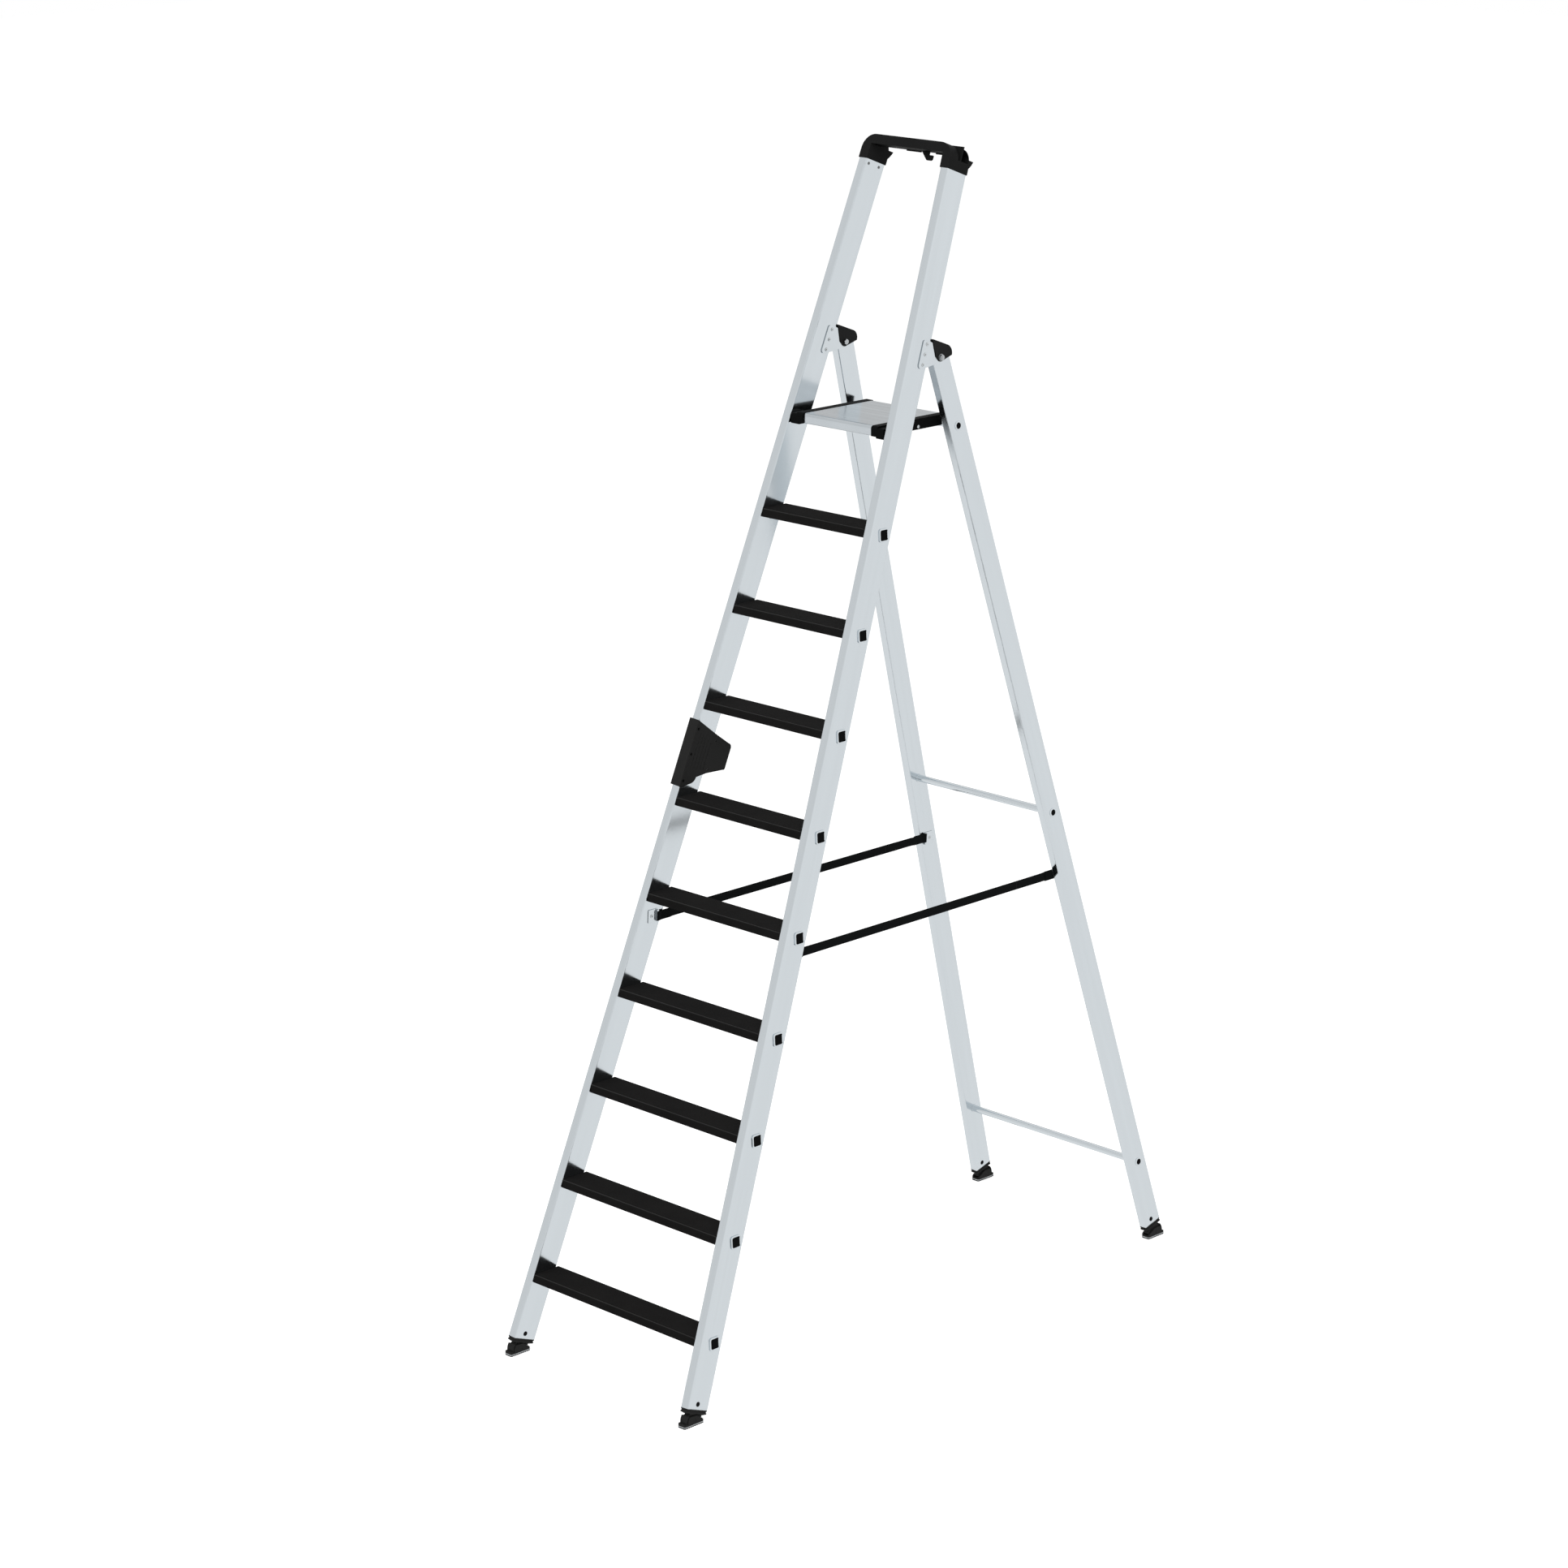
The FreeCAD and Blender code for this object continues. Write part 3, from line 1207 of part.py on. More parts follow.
def nosed_path(y0, y1, z0, z1, nose):
    """The side view of a bar with a round nose at y0 and small rounded corners elsewhere."""
    low = DECK_NOSE_LOW
    edge = RAIL_EDGE
    slant = 1 - math.sqrt(0.5)
    return [
        (y0 + low, z0),
        (y1, z0),
        (y1, z1 - edge),
        ((y1 - edge * slant, z1 - edge * slant), (y1 - edge, z1)),
        (y0 + nose, z1),
        ((y0 + nose * slant, z1 - nose * slant), (y0, z1 - nose)),
        (y0, z0 + low),
        ((y0 + low * slant, z0 + low * slant), (y0 + low, z0)),
    ]


def platform_deck():
    """The extruded deck: a skin with a rounded nose, cross ribs below and a heel over the tube."""
    y, z = PLATFORM_PIVOT
    top = DECK_TOP
    bottom = DECK_TOP - DECK_THICK
    front = -DECK_FRONT
    path = nosed_path(front, DECK_REAR, bottom, top, DECK_NOSE)
    deck = prism_x(moved_path(path, y, z), -DECK_HALF_WIDTH, DECK_HALF_WIDTH)
    first = front + DECK_NOSE
    last = DECK_REAR - DECK_HEEL
    pitch = (last - first) / DECK_CELLS
    cells = []
    for i in range(DECK_CELLS):
        y0 = y + first + i * pitch + DECK_SKIN / 2
        y1 = y0 + pitch - DECK_SKIN
        cells.append(box(-FAR, FAR, y0, y1, z + bottom - OVERSHOOT, z + top - DECK_SKIN))
    return deck.cut(cells + [saddle()])


def platform_rail():
    """The right side rail, with the boss that turns on the platform's pin."""
    y, z = PLATFORM_PIVOT
    top = DECK_TOP + RAIL_LIP
    bottom = DECK_TOP - DECK_THICK
    rail_path = nosed_path(-RAIL_FRONT, RAIL_REAR, bottom, top, RAIL_NOSE)
    rail = prism_x(moved_path(rail_path, y, z), DECK_HALF_WIDTH, RAIL_HALF_WIDTH)
    boss_path = rounded_path(-RAIL_FRONT, BOSS_BACK, -BOSS_BOTTOM, BOSS_TOP, BOSS_CORNER)
    boss = prism_x(moved_path(boss_path, y, z), RAIL_HALF_WIDTH - BOSS_SUNK, BOSS_HALF_WIDTH)
    bore = rod_x(PLATFORM_PIN + RUNNING_FIT, RAIL_HALF_WIDTH - BOSS_SUNK, FAR, y, z)
    groove = rod_x(RIVET_RADIUS, 0, FAR, y + RAIL_RIVET_BACK, z - RAIL_RIVET_LOW)
    return rail.fuse(boss).removeSplitter().cut([bore, saddle(), groove])


def platform_pivot_pins():
    """The platform's pivot pins, each held in the inner wall of its front stile."""
    y, z = PLATFORM_PIVOT
    wall = inner_half(PLATFORM_PIVOT_ALONG)
    bottom_of_bore = RAIL_HALF_WIDTH - BOSS_SUNK + SEAT_GAP
    pin = rod_x(PLATFORM_PIN, bottom_of_bore, wall + FRONT_STILE_WALL + OVERSHOOT, y, z)
    collar_seat = FreeCAD.Placement(
        Vec(-FRONT_STILE_WIDTH, PLATFORM_PIVOT_BACK, stile_length(PLATFORM_PIVOT_ALONG, FRONT_STILE_WIDTH)),
        FreeCAD.Rotation(),
    )
    thick = PIVOT_COLLAR - SEAT_GAP - TAPER * PIVOT_COLLAR_RADIUS
    collar = placed(placed(rod_x(PIVOT_COLLAR_RADIUS, -thick, 0, 0, 0), collar_seat), FRONT_STILE)
    return Part.makeCompound(pair(pin.fuse(collar)))


def platform_rivets():
    """Rivets that hold the rails to the deck's edges."""
    y, z = PLATFORM_PIVOT
    back = y + RAIL_RIVET_BACK
    low = z - RAIL_RIVET_LOW
    head = domed_head(RIVET_HEAD, RIVET_RIM, RIVET_PROUD - RIVET_RIM, RAIL_HALF_WIDTH, back, low, 1)
    shank = rod_x(RIVET_RADIUS, DECK_HALF_WIDTH, RAIL_HALF_WIDTH, back, low)
    return Part.makeCompound(pair(shank.fuse(head)))


# ---------------------------------------------------------------- feet

def foot_plug(width, depth, front, shank, stile_x, pivot, lean, frame, foot):
    """A plug in a stile's end: insert, snap buttons, grooved collar, tapered neck and tongue."""
    fit = PLUG_FIT
    wall = max(FRONT_STILE_WALL, REAR_STILE_WALL) + fit
    back = front + depth
    top = foot + PLUG_INSERT
    insert = rounded_bar(wall - width, -wall, front + wall, back - wall, STILE_CORNER, foot, top)
    middle = front + depth / 2
    snap = rod_x(SNAP_RADIUS - fit, -width - SNAP_PROUD, SNAP_PROUD, middle - SNAP_AHEAD, foot + SNAP_UP)
    ring = rounded_bar(-width, 0, front, back, STILE_CORNER, foot - PLUG_RING, foot)
    deep = PLUG_GROOVE_DEEP
    groove_low = foot - PLUG_RING - PLUG_GROOVE
    groove = rounded_bar(deep - width, -deep, front + deep, back - deep, STILE_CORNER - deep / 2, groove_low,
                         foot - PLUG_RING)
    low = groove_low - PLUG_LOWER_RING
    lower = rounded_bar(-width, 0, front, back, STILE_CORNER, low, groove_low)
    tongue_wide = SHOE_WIDE - 2 * SHOE_CHEEK - 2 * SEAT_GAP
    side = (width - tongue_wide) / 2
    wide_path = rounded_path(-width, 0, front, back, STILE_CORNER)
    slim_front = front + PLUG_TAPER_IN
    slim_back = back - PLUG_TAPER_IN
    slim_path = rounded_path(side + PLUG_SLIP - width, -side, slim_front, slim_back, STILE_CORNER)
    wide_end = outline(wide_path, lambda p: Vec(p[0], p[1], low)).OuterWire
    slim_end = outline(slim_path, lambda p: Vec(p[0], p[1], low - PLUG_TAPER)).OuterWire
    taper = Part.makeLoft([wide_end, slim_end], True, True)
    collar = placed(insert.fuse([snap, ring, groove, lower, taper]), frame)
    drop = shank - PLUG_RING - PLUG_GROOVE - PLUG_LOWER_RING - PLUG_TAPER
    room = SHOE_BULGE_RADIUS - SHOE_BULGE_WALL - SEAT_GAP
    half = math.sqrt(room * room - drop * drop)
    neck_path = [
        (-half, drop + OVERSHOOT),
        (-half, drop - PLUG_NECK),
        (half, drop - PLUG_NECK),
        (half, drop + OVERSHOOT),
    ]
    start = (-TONGUE_HALF, drop)
    end = (TONGUE_HALF, drop)
    tongue_path = [
        start,
        tangent_point(start, TONGUE_RADIUS, 1),
        ((0, -TONGUE_RADIUS), tangent_point(end, TONGUE_RADIUS, -1)),
        end,
    ]
    turn = FreeCAD.Placement(Vec(stile_x, pivot[0], pivot[1]), FreeCAD.Rotation(Vec(1, 0, 0), lean))
    reach = tongue_wide / 2
    neck = placed(prism_x(neck_path, -reach, reach), turn)
    tongue = placed(prism_x(tongue_path, -reach, reach), turn)
    bore = rod_x(FOOT_PIN, 0, FAR, pivot[0], pivot[1])
    return collar.fuse([neck, tongue]).cut(bore)


def front_foot_plug():
    """The plug of the right front foot."""
    foot = stile_length(FRONT_FOOT_ALONG + FRONT_SHANK)
    return foot_plug(FRONT_STILE_WIDTH, FRONT_STILE_DEPTH, 0.0, FRONT_SHANK, FRONT_FOOT_X, FRONT_FOOT,
                     -FRONT_LEAN, FRONT_STILE, foot)


def rear_foot_plug():
    """The plug of the right rear foot."""
    foot = -stile_length(REAR_FOOT_DOWN - REAR_SHANK)
    return foot_plug(REAR_STILE_WIDTH, REAR_STILE_DEPTH, REAR_STILE_FRONT, REAR_SHANK, REAR_FOOT_X, REAR_FOOT,
                     REAR_LEAN, REAR_STILE, foot)


def foot_pins(x, pivot):
    """The pins of one pair of feet, headed at both ends."""
    half = SHOE_WIDE / 2
    shank = rod_x(FOOT_PIN, x - half + 0.5, x + half - 0.5, pivot[0], pivot[1])
    return Part.makeCompound(pair(shank))


def shoe(x, pivot, toe, bulge_up):
    """One tilting shoe: a plate with two cheeks and a bulged toe. toe is -1 or 1 along Y."""
    half = SHOE_WIDE / 2
    low = SHOE_PLATE_LOW - FOOT_PIVOT_HIGH
    top = SHOE_PLATE_TOP - FOOT_PIVOT_HIGH
    crown = tangent_point(SHOE_HUMP, SHOE_CHEEK_RADIUS, -1)
    fall = tangent_point(SHOE_SHOULDER, SHOE_CHEEK_RADIUS, 1)
    cheek_path = [
        (SHOE_CHEEK_FRONT[0], low),
        (SHOE_CHEEK_FRONT[0], top),
        (SHOE_CHEEK_FRONT, SHOE_HUMP_FRONT),
        SHOE_HUMP,
        crown,
        (on_circle(SHOE_CHEEK_RADIUS, SHOE_CROWN_AT), fall),
        SHOE_SHOULDER,
        (SHOE_HEEL, SHOE_SHOULDER[1] - (SHOE_HEEL - SHOE_SHOULDER[0])),
        (SHOE_HEEL, low),
    ]
    plate_path = [
        (-SHOE_TOE, low),
        (-SHOE_TOE, top),
        (-SHOE_TOE + SHOE_RIM, top + SHOE_RIM),
        (OVERSHOOT - SHOE_BULGE_RADIUS, top + SHOE_RIM),
        (OVERSHOOT - SHOE_BULGE_RADIUS, top),
        (SHOE_HEEL, top),
        (SHOE_HEEL, low),
    ]
    start = math.degrees(math.asin((OVERSHOOT - top) / SHOE_BULGE_RADIUS))
    middle = 180 - (bulge_up - start) / 2
    inner = SHOE_BULGE_RADIUS - SHOE_BULGE_WALL
    bulge_path = [
        on_circle(SHOE_BULGE_RADIUS, 180 + start),
        (on_circle(SHOE_BULGE_RADIUS, middle), on_circle(SHOE_BULGE_RADIUS, 180 - bulge_up)),
        on_circle(inner, 180 - bulge_up),
        (on_circle(inner, middle), on_circle(inner, 180 + start)),
    ]
    if toe > 0:
        cheek_path = mirrored_path(cheek_path)
        plate_path = mirrored_path(plate_path)
        bulge_path = mirrored_path(bulge_path)
    place = FreeCAD.Placement(Vec(x, pivot[0], pivot[1]), FreeCAD.Rotation())
    plate = prism_x(plate_path, -half, half)
    bulge = prism_x(bulge_path, SHOE_BULGE_INSET - half, half - SHOE_BULGE_INSET)
    outer = prism_x(cheek_path, half - SHOE_CHEEK, half)
    inner_cheek = prism_x(cheek_path, -half, SHOE_CHEEK - half)
    body = plate.fuse([bulge, outer, inner_cheek])
    gap = half - SHOE_CHEEK
    pocket = rod_x(SHOE_POCKET, -gap, gap, 0, 0)
    bore = rod_x(FOOT_PIN + RUNNING_FIT, -half - 1, half + 1, 0, 0)
    return placed(body.cut([pocket, bore]).common(shoe_plan(toe, -FOOT_PIVOT_HIGH, FAR)), place)


def shoe_plan(toe, z0, z1):
    """The rounded plan of a shoe and its sole, as a tall block about the foot's pin."""
    half = SHOE_WIDE / 2
    y0, y1 = (-SHOE_TOE, SHOE_HEEL) if toe < 0 else (-SHOE_HEEL, SHOE_TOE)
    return rounded_bar(-half, half, y0, y1, SHOE_CORNER, z0, z1)


def sole(x, pivot, toe):
    """One rubber sole, with teeth across it, bonded below its shoe."""
    pad = shoe_plan(toe, -FOOT_PIVOT_HIGH, SHOE_PLATE_LOW - FOOT_PIVOT_HIGH)
    length = SHOE_TOE + SHOE_HEEL
    pitch = length / SOLE_TEETH
    mouth = pitch * SOLE_GROOVE / 2
    root = pitch * SOLE_GROOVE_ROOT / 2
    low = -FOOT_PIVOT_HIGH
    start = -SHOE_TOE if toe < 0 else -SHOE_HEEL
    grooves = []
    for i in range(SOLE_TEETH - 1):
        middle = start + pitch * (i + 1)
        path = [
            (middle - mouth, low - OVERSHOOT),
            (middle + mouth, low - OVERSHOOT),
            (middle + root, low + SOLE_TOOTH),
            (middle - root, low + SOLE_TOOTH),
        ]
        grooves.append(prism_x(path, -SHOE_WIDE, SHOE_WIDE))
    place = FreeCAD.Placement(Vec(x, pivot[0], pivot[1]), FreeCAD.Rotation())
    return placed(pad.cut(grooves), place)


# ---------------------------------------------------------------- nodes

def both_sides(nodes, name, shape):
    """Adds a right-hand piece and its left-hand twin."""
    nodes["right_" + name] = shape
    nodes["left_" + name] = mirrored(shape)


def all_nodes():
    """Every node of the ladder by name."""
    nodes = {}
    both_sides(nodes, "front_stile", front_stile())
    for index in range(STEP_COUNT):
        nodes[f"step_{index + 1}"] = step(index)
        nodes[f"tread_{index + 1}"] = tread(index)
    nodes["top_tray"] = top_tray()
    nodes["top_tray_screws"] = top_tray_screws()
    both_sides(nodes, "hinge_plates", hinge_plates())
    nodes["front_frame_rivets"] = front_frame_rivets()
    nodes["hinge_bolts"] = hinge_bolts()
    both_sides(nodes, "hinge_cover", hinge_cover())
    nodes["grip_pad"] = grip_pad()
    nodes["grip_pad_screws"] = grip_pad_screws()
    nodes["front_strap_clips"] = front_strap_clips()
    both_sides(nodes, "front_foot_plug", front_foot_plug())
    nodes["platform_pivot_pins"] = platform_pivot_pins()
    nodes["front_foot_pins"] = foot_pins(FRONT_FOOT_X, FRONT_FOOT)
    both_sides(nodes, "strap", strap())
    both_sides(nodes, "rear_stile", rear_stile())
    for name, down in TUBES_DOWN.items():
        nodes[name] = cross_tube(down)
    nodes["hinge_bushes"] = hinge_bushes()
    nodes["rear_strap_clips"] = rear_strap_clips()
    nodes["rear_strap_rivets"] = rear_strap_rivets()
    both_sides(nodes, "rear_foot_plug", rear_foot_plug())
    nodes["rear_foot_pins"] = foot_pins(REAR_FOOT_X, REAR_FOOT)
    nodes["platform_deck"] = platform_deck()
    both_sides(nodes, "platform_rail", platform_rail())
    nodes["platform_rivets"] = platform_rivets()
    both_sides(nodes, "front_shoe", shoe(FRONT_FOOT_X, FRONT_FOOT, -1, FRONT_BULGE_UP))
    both_sides(nodes, "rear_shoe", shoe(REAR_FOOT_X, REAR_FOOT, 1, REAR_BULGE_UP))
    both_sides(nodes, "front_sole", sole(FRONT_FOOT_X, FRONT_FOOT, -1))
    both_sides(nodes, "rear_sole", sole(REAR_FOOT_X, REAR_FOOT, 1))
    return nodes


os.makedirs("parts", exist_ok=True)
for node_name, node_shape in all_nodes().items():
    volume = sum(solid.Volume for solid in node_shape.Solids)
    print(f"{node_name}: {len(node_shape.Solids)} solids, {volume:.0f} mm3, valid {node_shape.isValid()}")
    node_shape.exportStep(f"parts/{node_name}.step")
print(f"hinge at y {HINGE_Y:.3f} z {HINGE_Z:.3f}")
print(f"platform pivot at y {PLATFORM_PIVOT[0]:.3f} z {PLATFORM_PIVOT[1]:.3f}")
print(f"front foot pin at x {FRONT_FOOT_X:.3f} y {FRONT_FOOT[0]:.3f} z {FRONT_FOOT[1]:.3f}")
print(f"rear foot pin at x {REAR_FOOT_X:.3f} y {REAR_FOOT[0]:.3f} z {REAR_FOOT[1]:.3f}")
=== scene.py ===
import math

import bmesh
import bpy
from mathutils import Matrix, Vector

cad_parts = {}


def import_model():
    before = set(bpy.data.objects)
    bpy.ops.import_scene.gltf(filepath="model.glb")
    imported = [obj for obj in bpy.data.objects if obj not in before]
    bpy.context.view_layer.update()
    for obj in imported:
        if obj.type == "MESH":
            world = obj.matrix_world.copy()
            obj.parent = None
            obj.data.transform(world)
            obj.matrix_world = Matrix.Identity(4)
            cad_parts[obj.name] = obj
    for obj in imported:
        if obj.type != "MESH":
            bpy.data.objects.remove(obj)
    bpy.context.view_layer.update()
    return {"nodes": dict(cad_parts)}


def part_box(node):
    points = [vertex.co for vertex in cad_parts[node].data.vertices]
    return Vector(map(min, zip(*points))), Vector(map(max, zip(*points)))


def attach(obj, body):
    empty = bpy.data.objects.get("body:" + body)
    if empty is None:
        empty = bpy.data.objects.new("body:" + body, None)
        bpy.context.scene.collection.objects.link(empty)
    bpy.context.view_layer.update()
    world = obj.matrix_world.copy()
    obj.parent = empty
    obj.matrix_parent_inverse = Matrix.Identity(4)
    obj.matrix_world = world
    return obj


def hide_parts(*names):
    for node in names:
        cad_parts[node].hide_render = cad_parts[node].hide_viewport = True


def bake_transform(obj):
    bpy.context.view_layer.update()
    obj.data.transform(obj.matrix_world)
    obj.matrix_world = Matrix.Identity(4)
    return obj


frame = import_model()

NODES = frame["nodes"]

# The frames' leans and the stiles' taper, as the CAD model has them
FRONT_LEAN = math.radians(20.46)
REAR_LEAN = math.radians(16.5)
TAPER_SLOPE = 0.0573
TAPER = math.atan(TAPER_SLOPE)
STEPS = 9
SIDES = {"left": -1, "right": 1}

# Camera: its place in metres, its angles in degrees, its lens and sensor in millimetres
CAMERA_PLACE = (7.2153, -7.5067, 4.2841)
CAMERA_AZIMUTH = 44.766
CAMERA_ELEVATION = 15.606
CAMERA_LENS = 98.38
SENSOR = 36.0

# Surroundings: walls that are lighter towards +X +Y, and a darker part that the deck mirrors
WALLS_WAY = (1.0, 1.0, 0.0)
WALLS_SPAN = (-1.0, 0.3)
WALLS_LEVEL = (0.83, 1.0)
BEYOND_WAY = (-0.68, 0.69, 0.27)
BEYOND_SPAN = (0.9, 0.985)
BEYOND_LEVEL = (1.0, 0.66)
SOFT_LEVEL = 0.75

# Floor, in metres, and its dark patch that only reflections see
FLOOR_HALF = 30.0
FLOOR_WHITE = (0.8, 0.82)
FLOOR_LIFT = 0.42
DARK_PLACE = (2.1, -1.95, 0.0)
DARK_SPAN = (0.5, 1.4)
DARK_LEVEL = (0.25, 0.97)

# Lamps, in metres and watts
LIGHT_TARGET = (0, 0, 1.3)

# Corner softness that the stiles' reflections show, in metres
FRONT_STILE_SOFT = 0.003
LEFT_REAR_STILE_SOFT = 0.0012
RIGHT_REAR_STILE_SOFT = 0.0035

# Webbing straps, in metres: the webbing, its sewn ends, and how it passes over the clips' barrels
STRAP_THICK = 0.0019
STRAP_HALF = 0.0113
SEWN_HALF = 0.0123
SEWN_LONG = 0.042
SEWN_FADE = 0.004
FLAP_FRONT = 0.0065
FLAP_REAR = 0.0027
LAYER_GAP = 0.00015
CLIP_PLATE = 0.0016
CLIP_BARREL = 0.0060
BARREL_END = 0.001
BARREL_FADE = 0.008
CLOSE_FADE = 0.02
TWIST_FADE = 0.1
STRAP_STEP = 0.004
EDGE_BULGE = 0.0003
# The length of the rear run
REAR_RUN = 0.15

# Stitching on the straps, in metres; a profile is (share of the length, share of the radius)
STITCH_LONG = 0.0030
STITCH_PITCH = 0.0042
STITCH_RADIUS = 0.00042
STITCH_INSET = 0.0026
STITCH_START = 0.011
STITCH_PROFILE = ((-0.5, 0.25), (-0.4, 0.8), (-0.15, 1.0), (0.15, 1.0), (0.4, 0.8), (0.5, 0.25))
STITCH_CORNERS = 8

# Tread nosing beads, in metres; the ends are (distance from the end, share of the radius)
TREAD_NOSE = 0.005
BEAD_RADIUS = 0.0012
BEAD_SUNK = 0.6
BEAD_SLANT = math.radians(45)
BEAD_END = 0.0012
BEAD_ENDS = ((0.0, 0.4), (0.0006, 0.85), (0.002, 1.0))
BEAD_CORNERS = 16

# Foot carriers, in metres
CARRIER_LOW = 0.0031
CARRIER_HIGH = 0.0051
CARRIER_PROUD = 0.0004
CARRIER_LIP = 0.4
CARRIER_EASE = 0.25
CARRIER_CORNER = 0.005
CARRIER_PARTS = 6
CARRIER_SUNK = 0.002

# Foot swivels and snap buttons, in metres; the button's profile is (share of the radius, share proud)
FOOT_TOE = 0.0364
FOOT_PIN_HIGH = 0.013
SWIVEL_RADIUS = 0.0246
SWIVEL_HALF = 0.0079
SWIVEL_LOW = 0.001
SWIVEL_EASE = 0.0006
SWIVEL_PARTS = 48
SWIVEL_TOP = {"front": 0.01665, "rear": 0.0218}
SHOULDER_RADIUS = 0.0283
SHOULDER_HALF = 0.0112
SHOULDER_ANGLES = [math.radians(47.5 + i) for i in range(9)]
STILE_END = {"front": 0.02665, "rear": 0.0318}
STILE_WIDTH = {"front": 0.025, "rear": 0.0232}
LEANS = {"front": FRONT_LEAN, "rear": -REAR_LEAN}
BUTTON_UP = 0.0135
BUTTON_AHEAD = 0.0033
BUTTON_RADIUS = 0.0059
BUTTON_PROUD = 0.0009
BUTTON_SUNK = 0.0003
BUTTON_PROFILE = ((1.0, 0.45), (0.93, 0.75), (0.7, 0.95), (0.35, 1.0))
BUTTON_CORNERS = 32

# Near-black plugs in the open ends of the steps and cross tubes, in metres: painted shade for the
# hollow insides of the tubes
STEP_TREAD_FRONT = 0.0405
STEP_TREAD_DOWN = 0.0177
STEP_BORE = 0.0238
STEP_FLARE = 0.0005
STEP_BORE_CORNER = 0.0022
STEP_BORE_PARTS = 4
STEP_RIM_REACH = 0.0196
STEP_PLUG_RECESS = 0.0012
TUBE_BORE = 0.00735
TUBE_RIM_REACH = 0.0090
TUBE_FLARE = 0.00045
TUBE_PLUG_RECESS = 0.00045
TUBE_CORNERS = 40
PLUG_LONG = 0.008
PLUG_EDGE = 0.0008
PLUG_CROWN = 0.0004
# A plug's profile: (depth, growth) as shares of its flare, (rise, inset) as shares of crown and edge
PLUG_BELL = ((1.1, 0.0), (0.15, 0.9), (0.0, 0.6))
PLUG_FACE = ((0.5, 2), (1.0, 5))


# ---------------------------------------------------------------- node helpers

def new_material(name):
    """A material with an empty tree and its output."""
    material = bpy.data.materials.new(name)
    material.use_nodes = True
    tree = material.node_tree
    tree.nodes.clear()
    output = tree.nodes.new("ShaderNodeOutputMaterial")
    return material, tree, output


def node(tree, kind, inputs=None, **settings):
    """A shader node with its settings and inputs: an input is a value or another node's output."""
    made = tree.nodes.new("ShaderNode" + kind)
    for key, value in settings.items():
        setattr(made, key, value)
    for key, value in (inputs or {}).items():
        if isinstance(value, bpy.types.NodeSocket):
            tree.links.new(value, made.inputs[key])
        else:
            made.inputs[key].default_value = value
    return made


def ramp(tree, source, stops):
    """A colour ramp between two stops of (position, colour)."""
    made = node(tree, "ValToRGB", {"Fac": source})
    for element, (position, colour) in zip(made.color_ramp.elements, stops):
        element.position = position
        element.color = (*colour, 1)
    return made.outputs["Color"]


def grey(value):
    """An opaque grey."""
    return (value, value, value, 1)


def tinted(colour, factor):
    """A colour made lighter or darker."""
    return tuple(min(1.0, channel * factor) for channel in colour)


def cloudy_tint(tree, source, colour, darker, lighter):
    """A colour that drifts between a darker and a lighter shade of itself."""
    return ramp(tree, source, [(0.3, tinted(colour, darker)), (0.7, tinted(colour, lighter))])


def local_axes(tree, lean=0.0, tilt=0.0, scale=(1, 1, 1)):
    """Object coordinates turned to run along a stile, then scaled."""
    coords = node(tree, "TexCoord")
    along = {"Vector": coords.outputs["Object"], "Rotation": (lean, tilt, 0.0)}
    turned = node(tree, "Mapping", along).outputs["Vector"]
    return node(tree, "Mapping", {"Vector": turned, "Scale": scale}).outputs["Vector"]


def mapped(tree, value, low, high, start=0.0, end=1.0, **settings):
    """A value moved from one range to another."""
    ranges = {"Value": value, "From Min": start, "From Max": end, "To Min": low, "To Max": high}
    return node(tree, "MapRange", ranges, **settings).outputs["Result"]


def maths(tree, operation, *values):
    """One Math node's result."""
    return node(tree, "Math", dict(enumerate(values)), operation=operation).outputs[0]


def scaled(tree, colour, level):
    """A colour made lighter or darker by a node's value."""
    return node(tree, "VectorMath", {0: colour, "Scale": level}, operation="SCALE").outputs[0]


def mixed(tree, share, first, second, **settings):
    """Two colours mixed by a share."""
    return node(tree, "Mix", {0: share, 6: first, 7: second}, data_type="RGBA", **settings).outputs[2]


def bumped(tree, height, strength, distance, normal=None):
    """A normal roughened by a height, over another normal where there is one."""
    inputs = {"Height": height, "Strength": strength, "Distance": distance}
    if normal:
        inputs["Normal"] = normal
    return node(tree, "Bump", inputs).outputs["Normal"]


def soft_edge(tree, radius):
    """A normal that rounds the edges by a radius."""
    return node(tree, "Bevel", {"Radius": radius}, samples=4).outputs["Normal"]


EDGE_SHARP = 8.0


def edge_mask(tree, radius):
    """A mask that is 1 on sharp edges and 0 on flat faces."""
    rounded = soft_edge(tree, radius)
    face = node(tree, "NewGeometry").outputs["Normal"]
    same = node(tree, "VectorMath", {0: rounded, 1: face}, operation="DOT_PRODUCT").outputs["Value"]
    away = maths(tree, "SUBTRACT", 1.0, same)
    mask = node(tree, "Math", {0: away, 1: EDGE_SHARP}, operation="MULTIPLY", use_clamp=True)
    return mask.outputs[0]


def painted_crevice_shade(tree, surface, reach):
    """A colour darkened by painted shade in crevices narrower than the reach."""
    open_air = node(tree, "AmbientOcclusion", {"Distance": reach}, samples=8).outputs["AO"]
    return scaled(tree, surface, mapped(tree, open_air, low=0.08, high=1.0, start=0.35, end=0.9))


def principled(tree, output, inputs):
    """The surface shader, linked to the output."""
    shader = node(tree, "BsdfPrincipled", inputs)
    tree.links.new(shader.outputs["BSDF"], output.inputs["Surface"])


# ---------------------------------------------------------------- materials

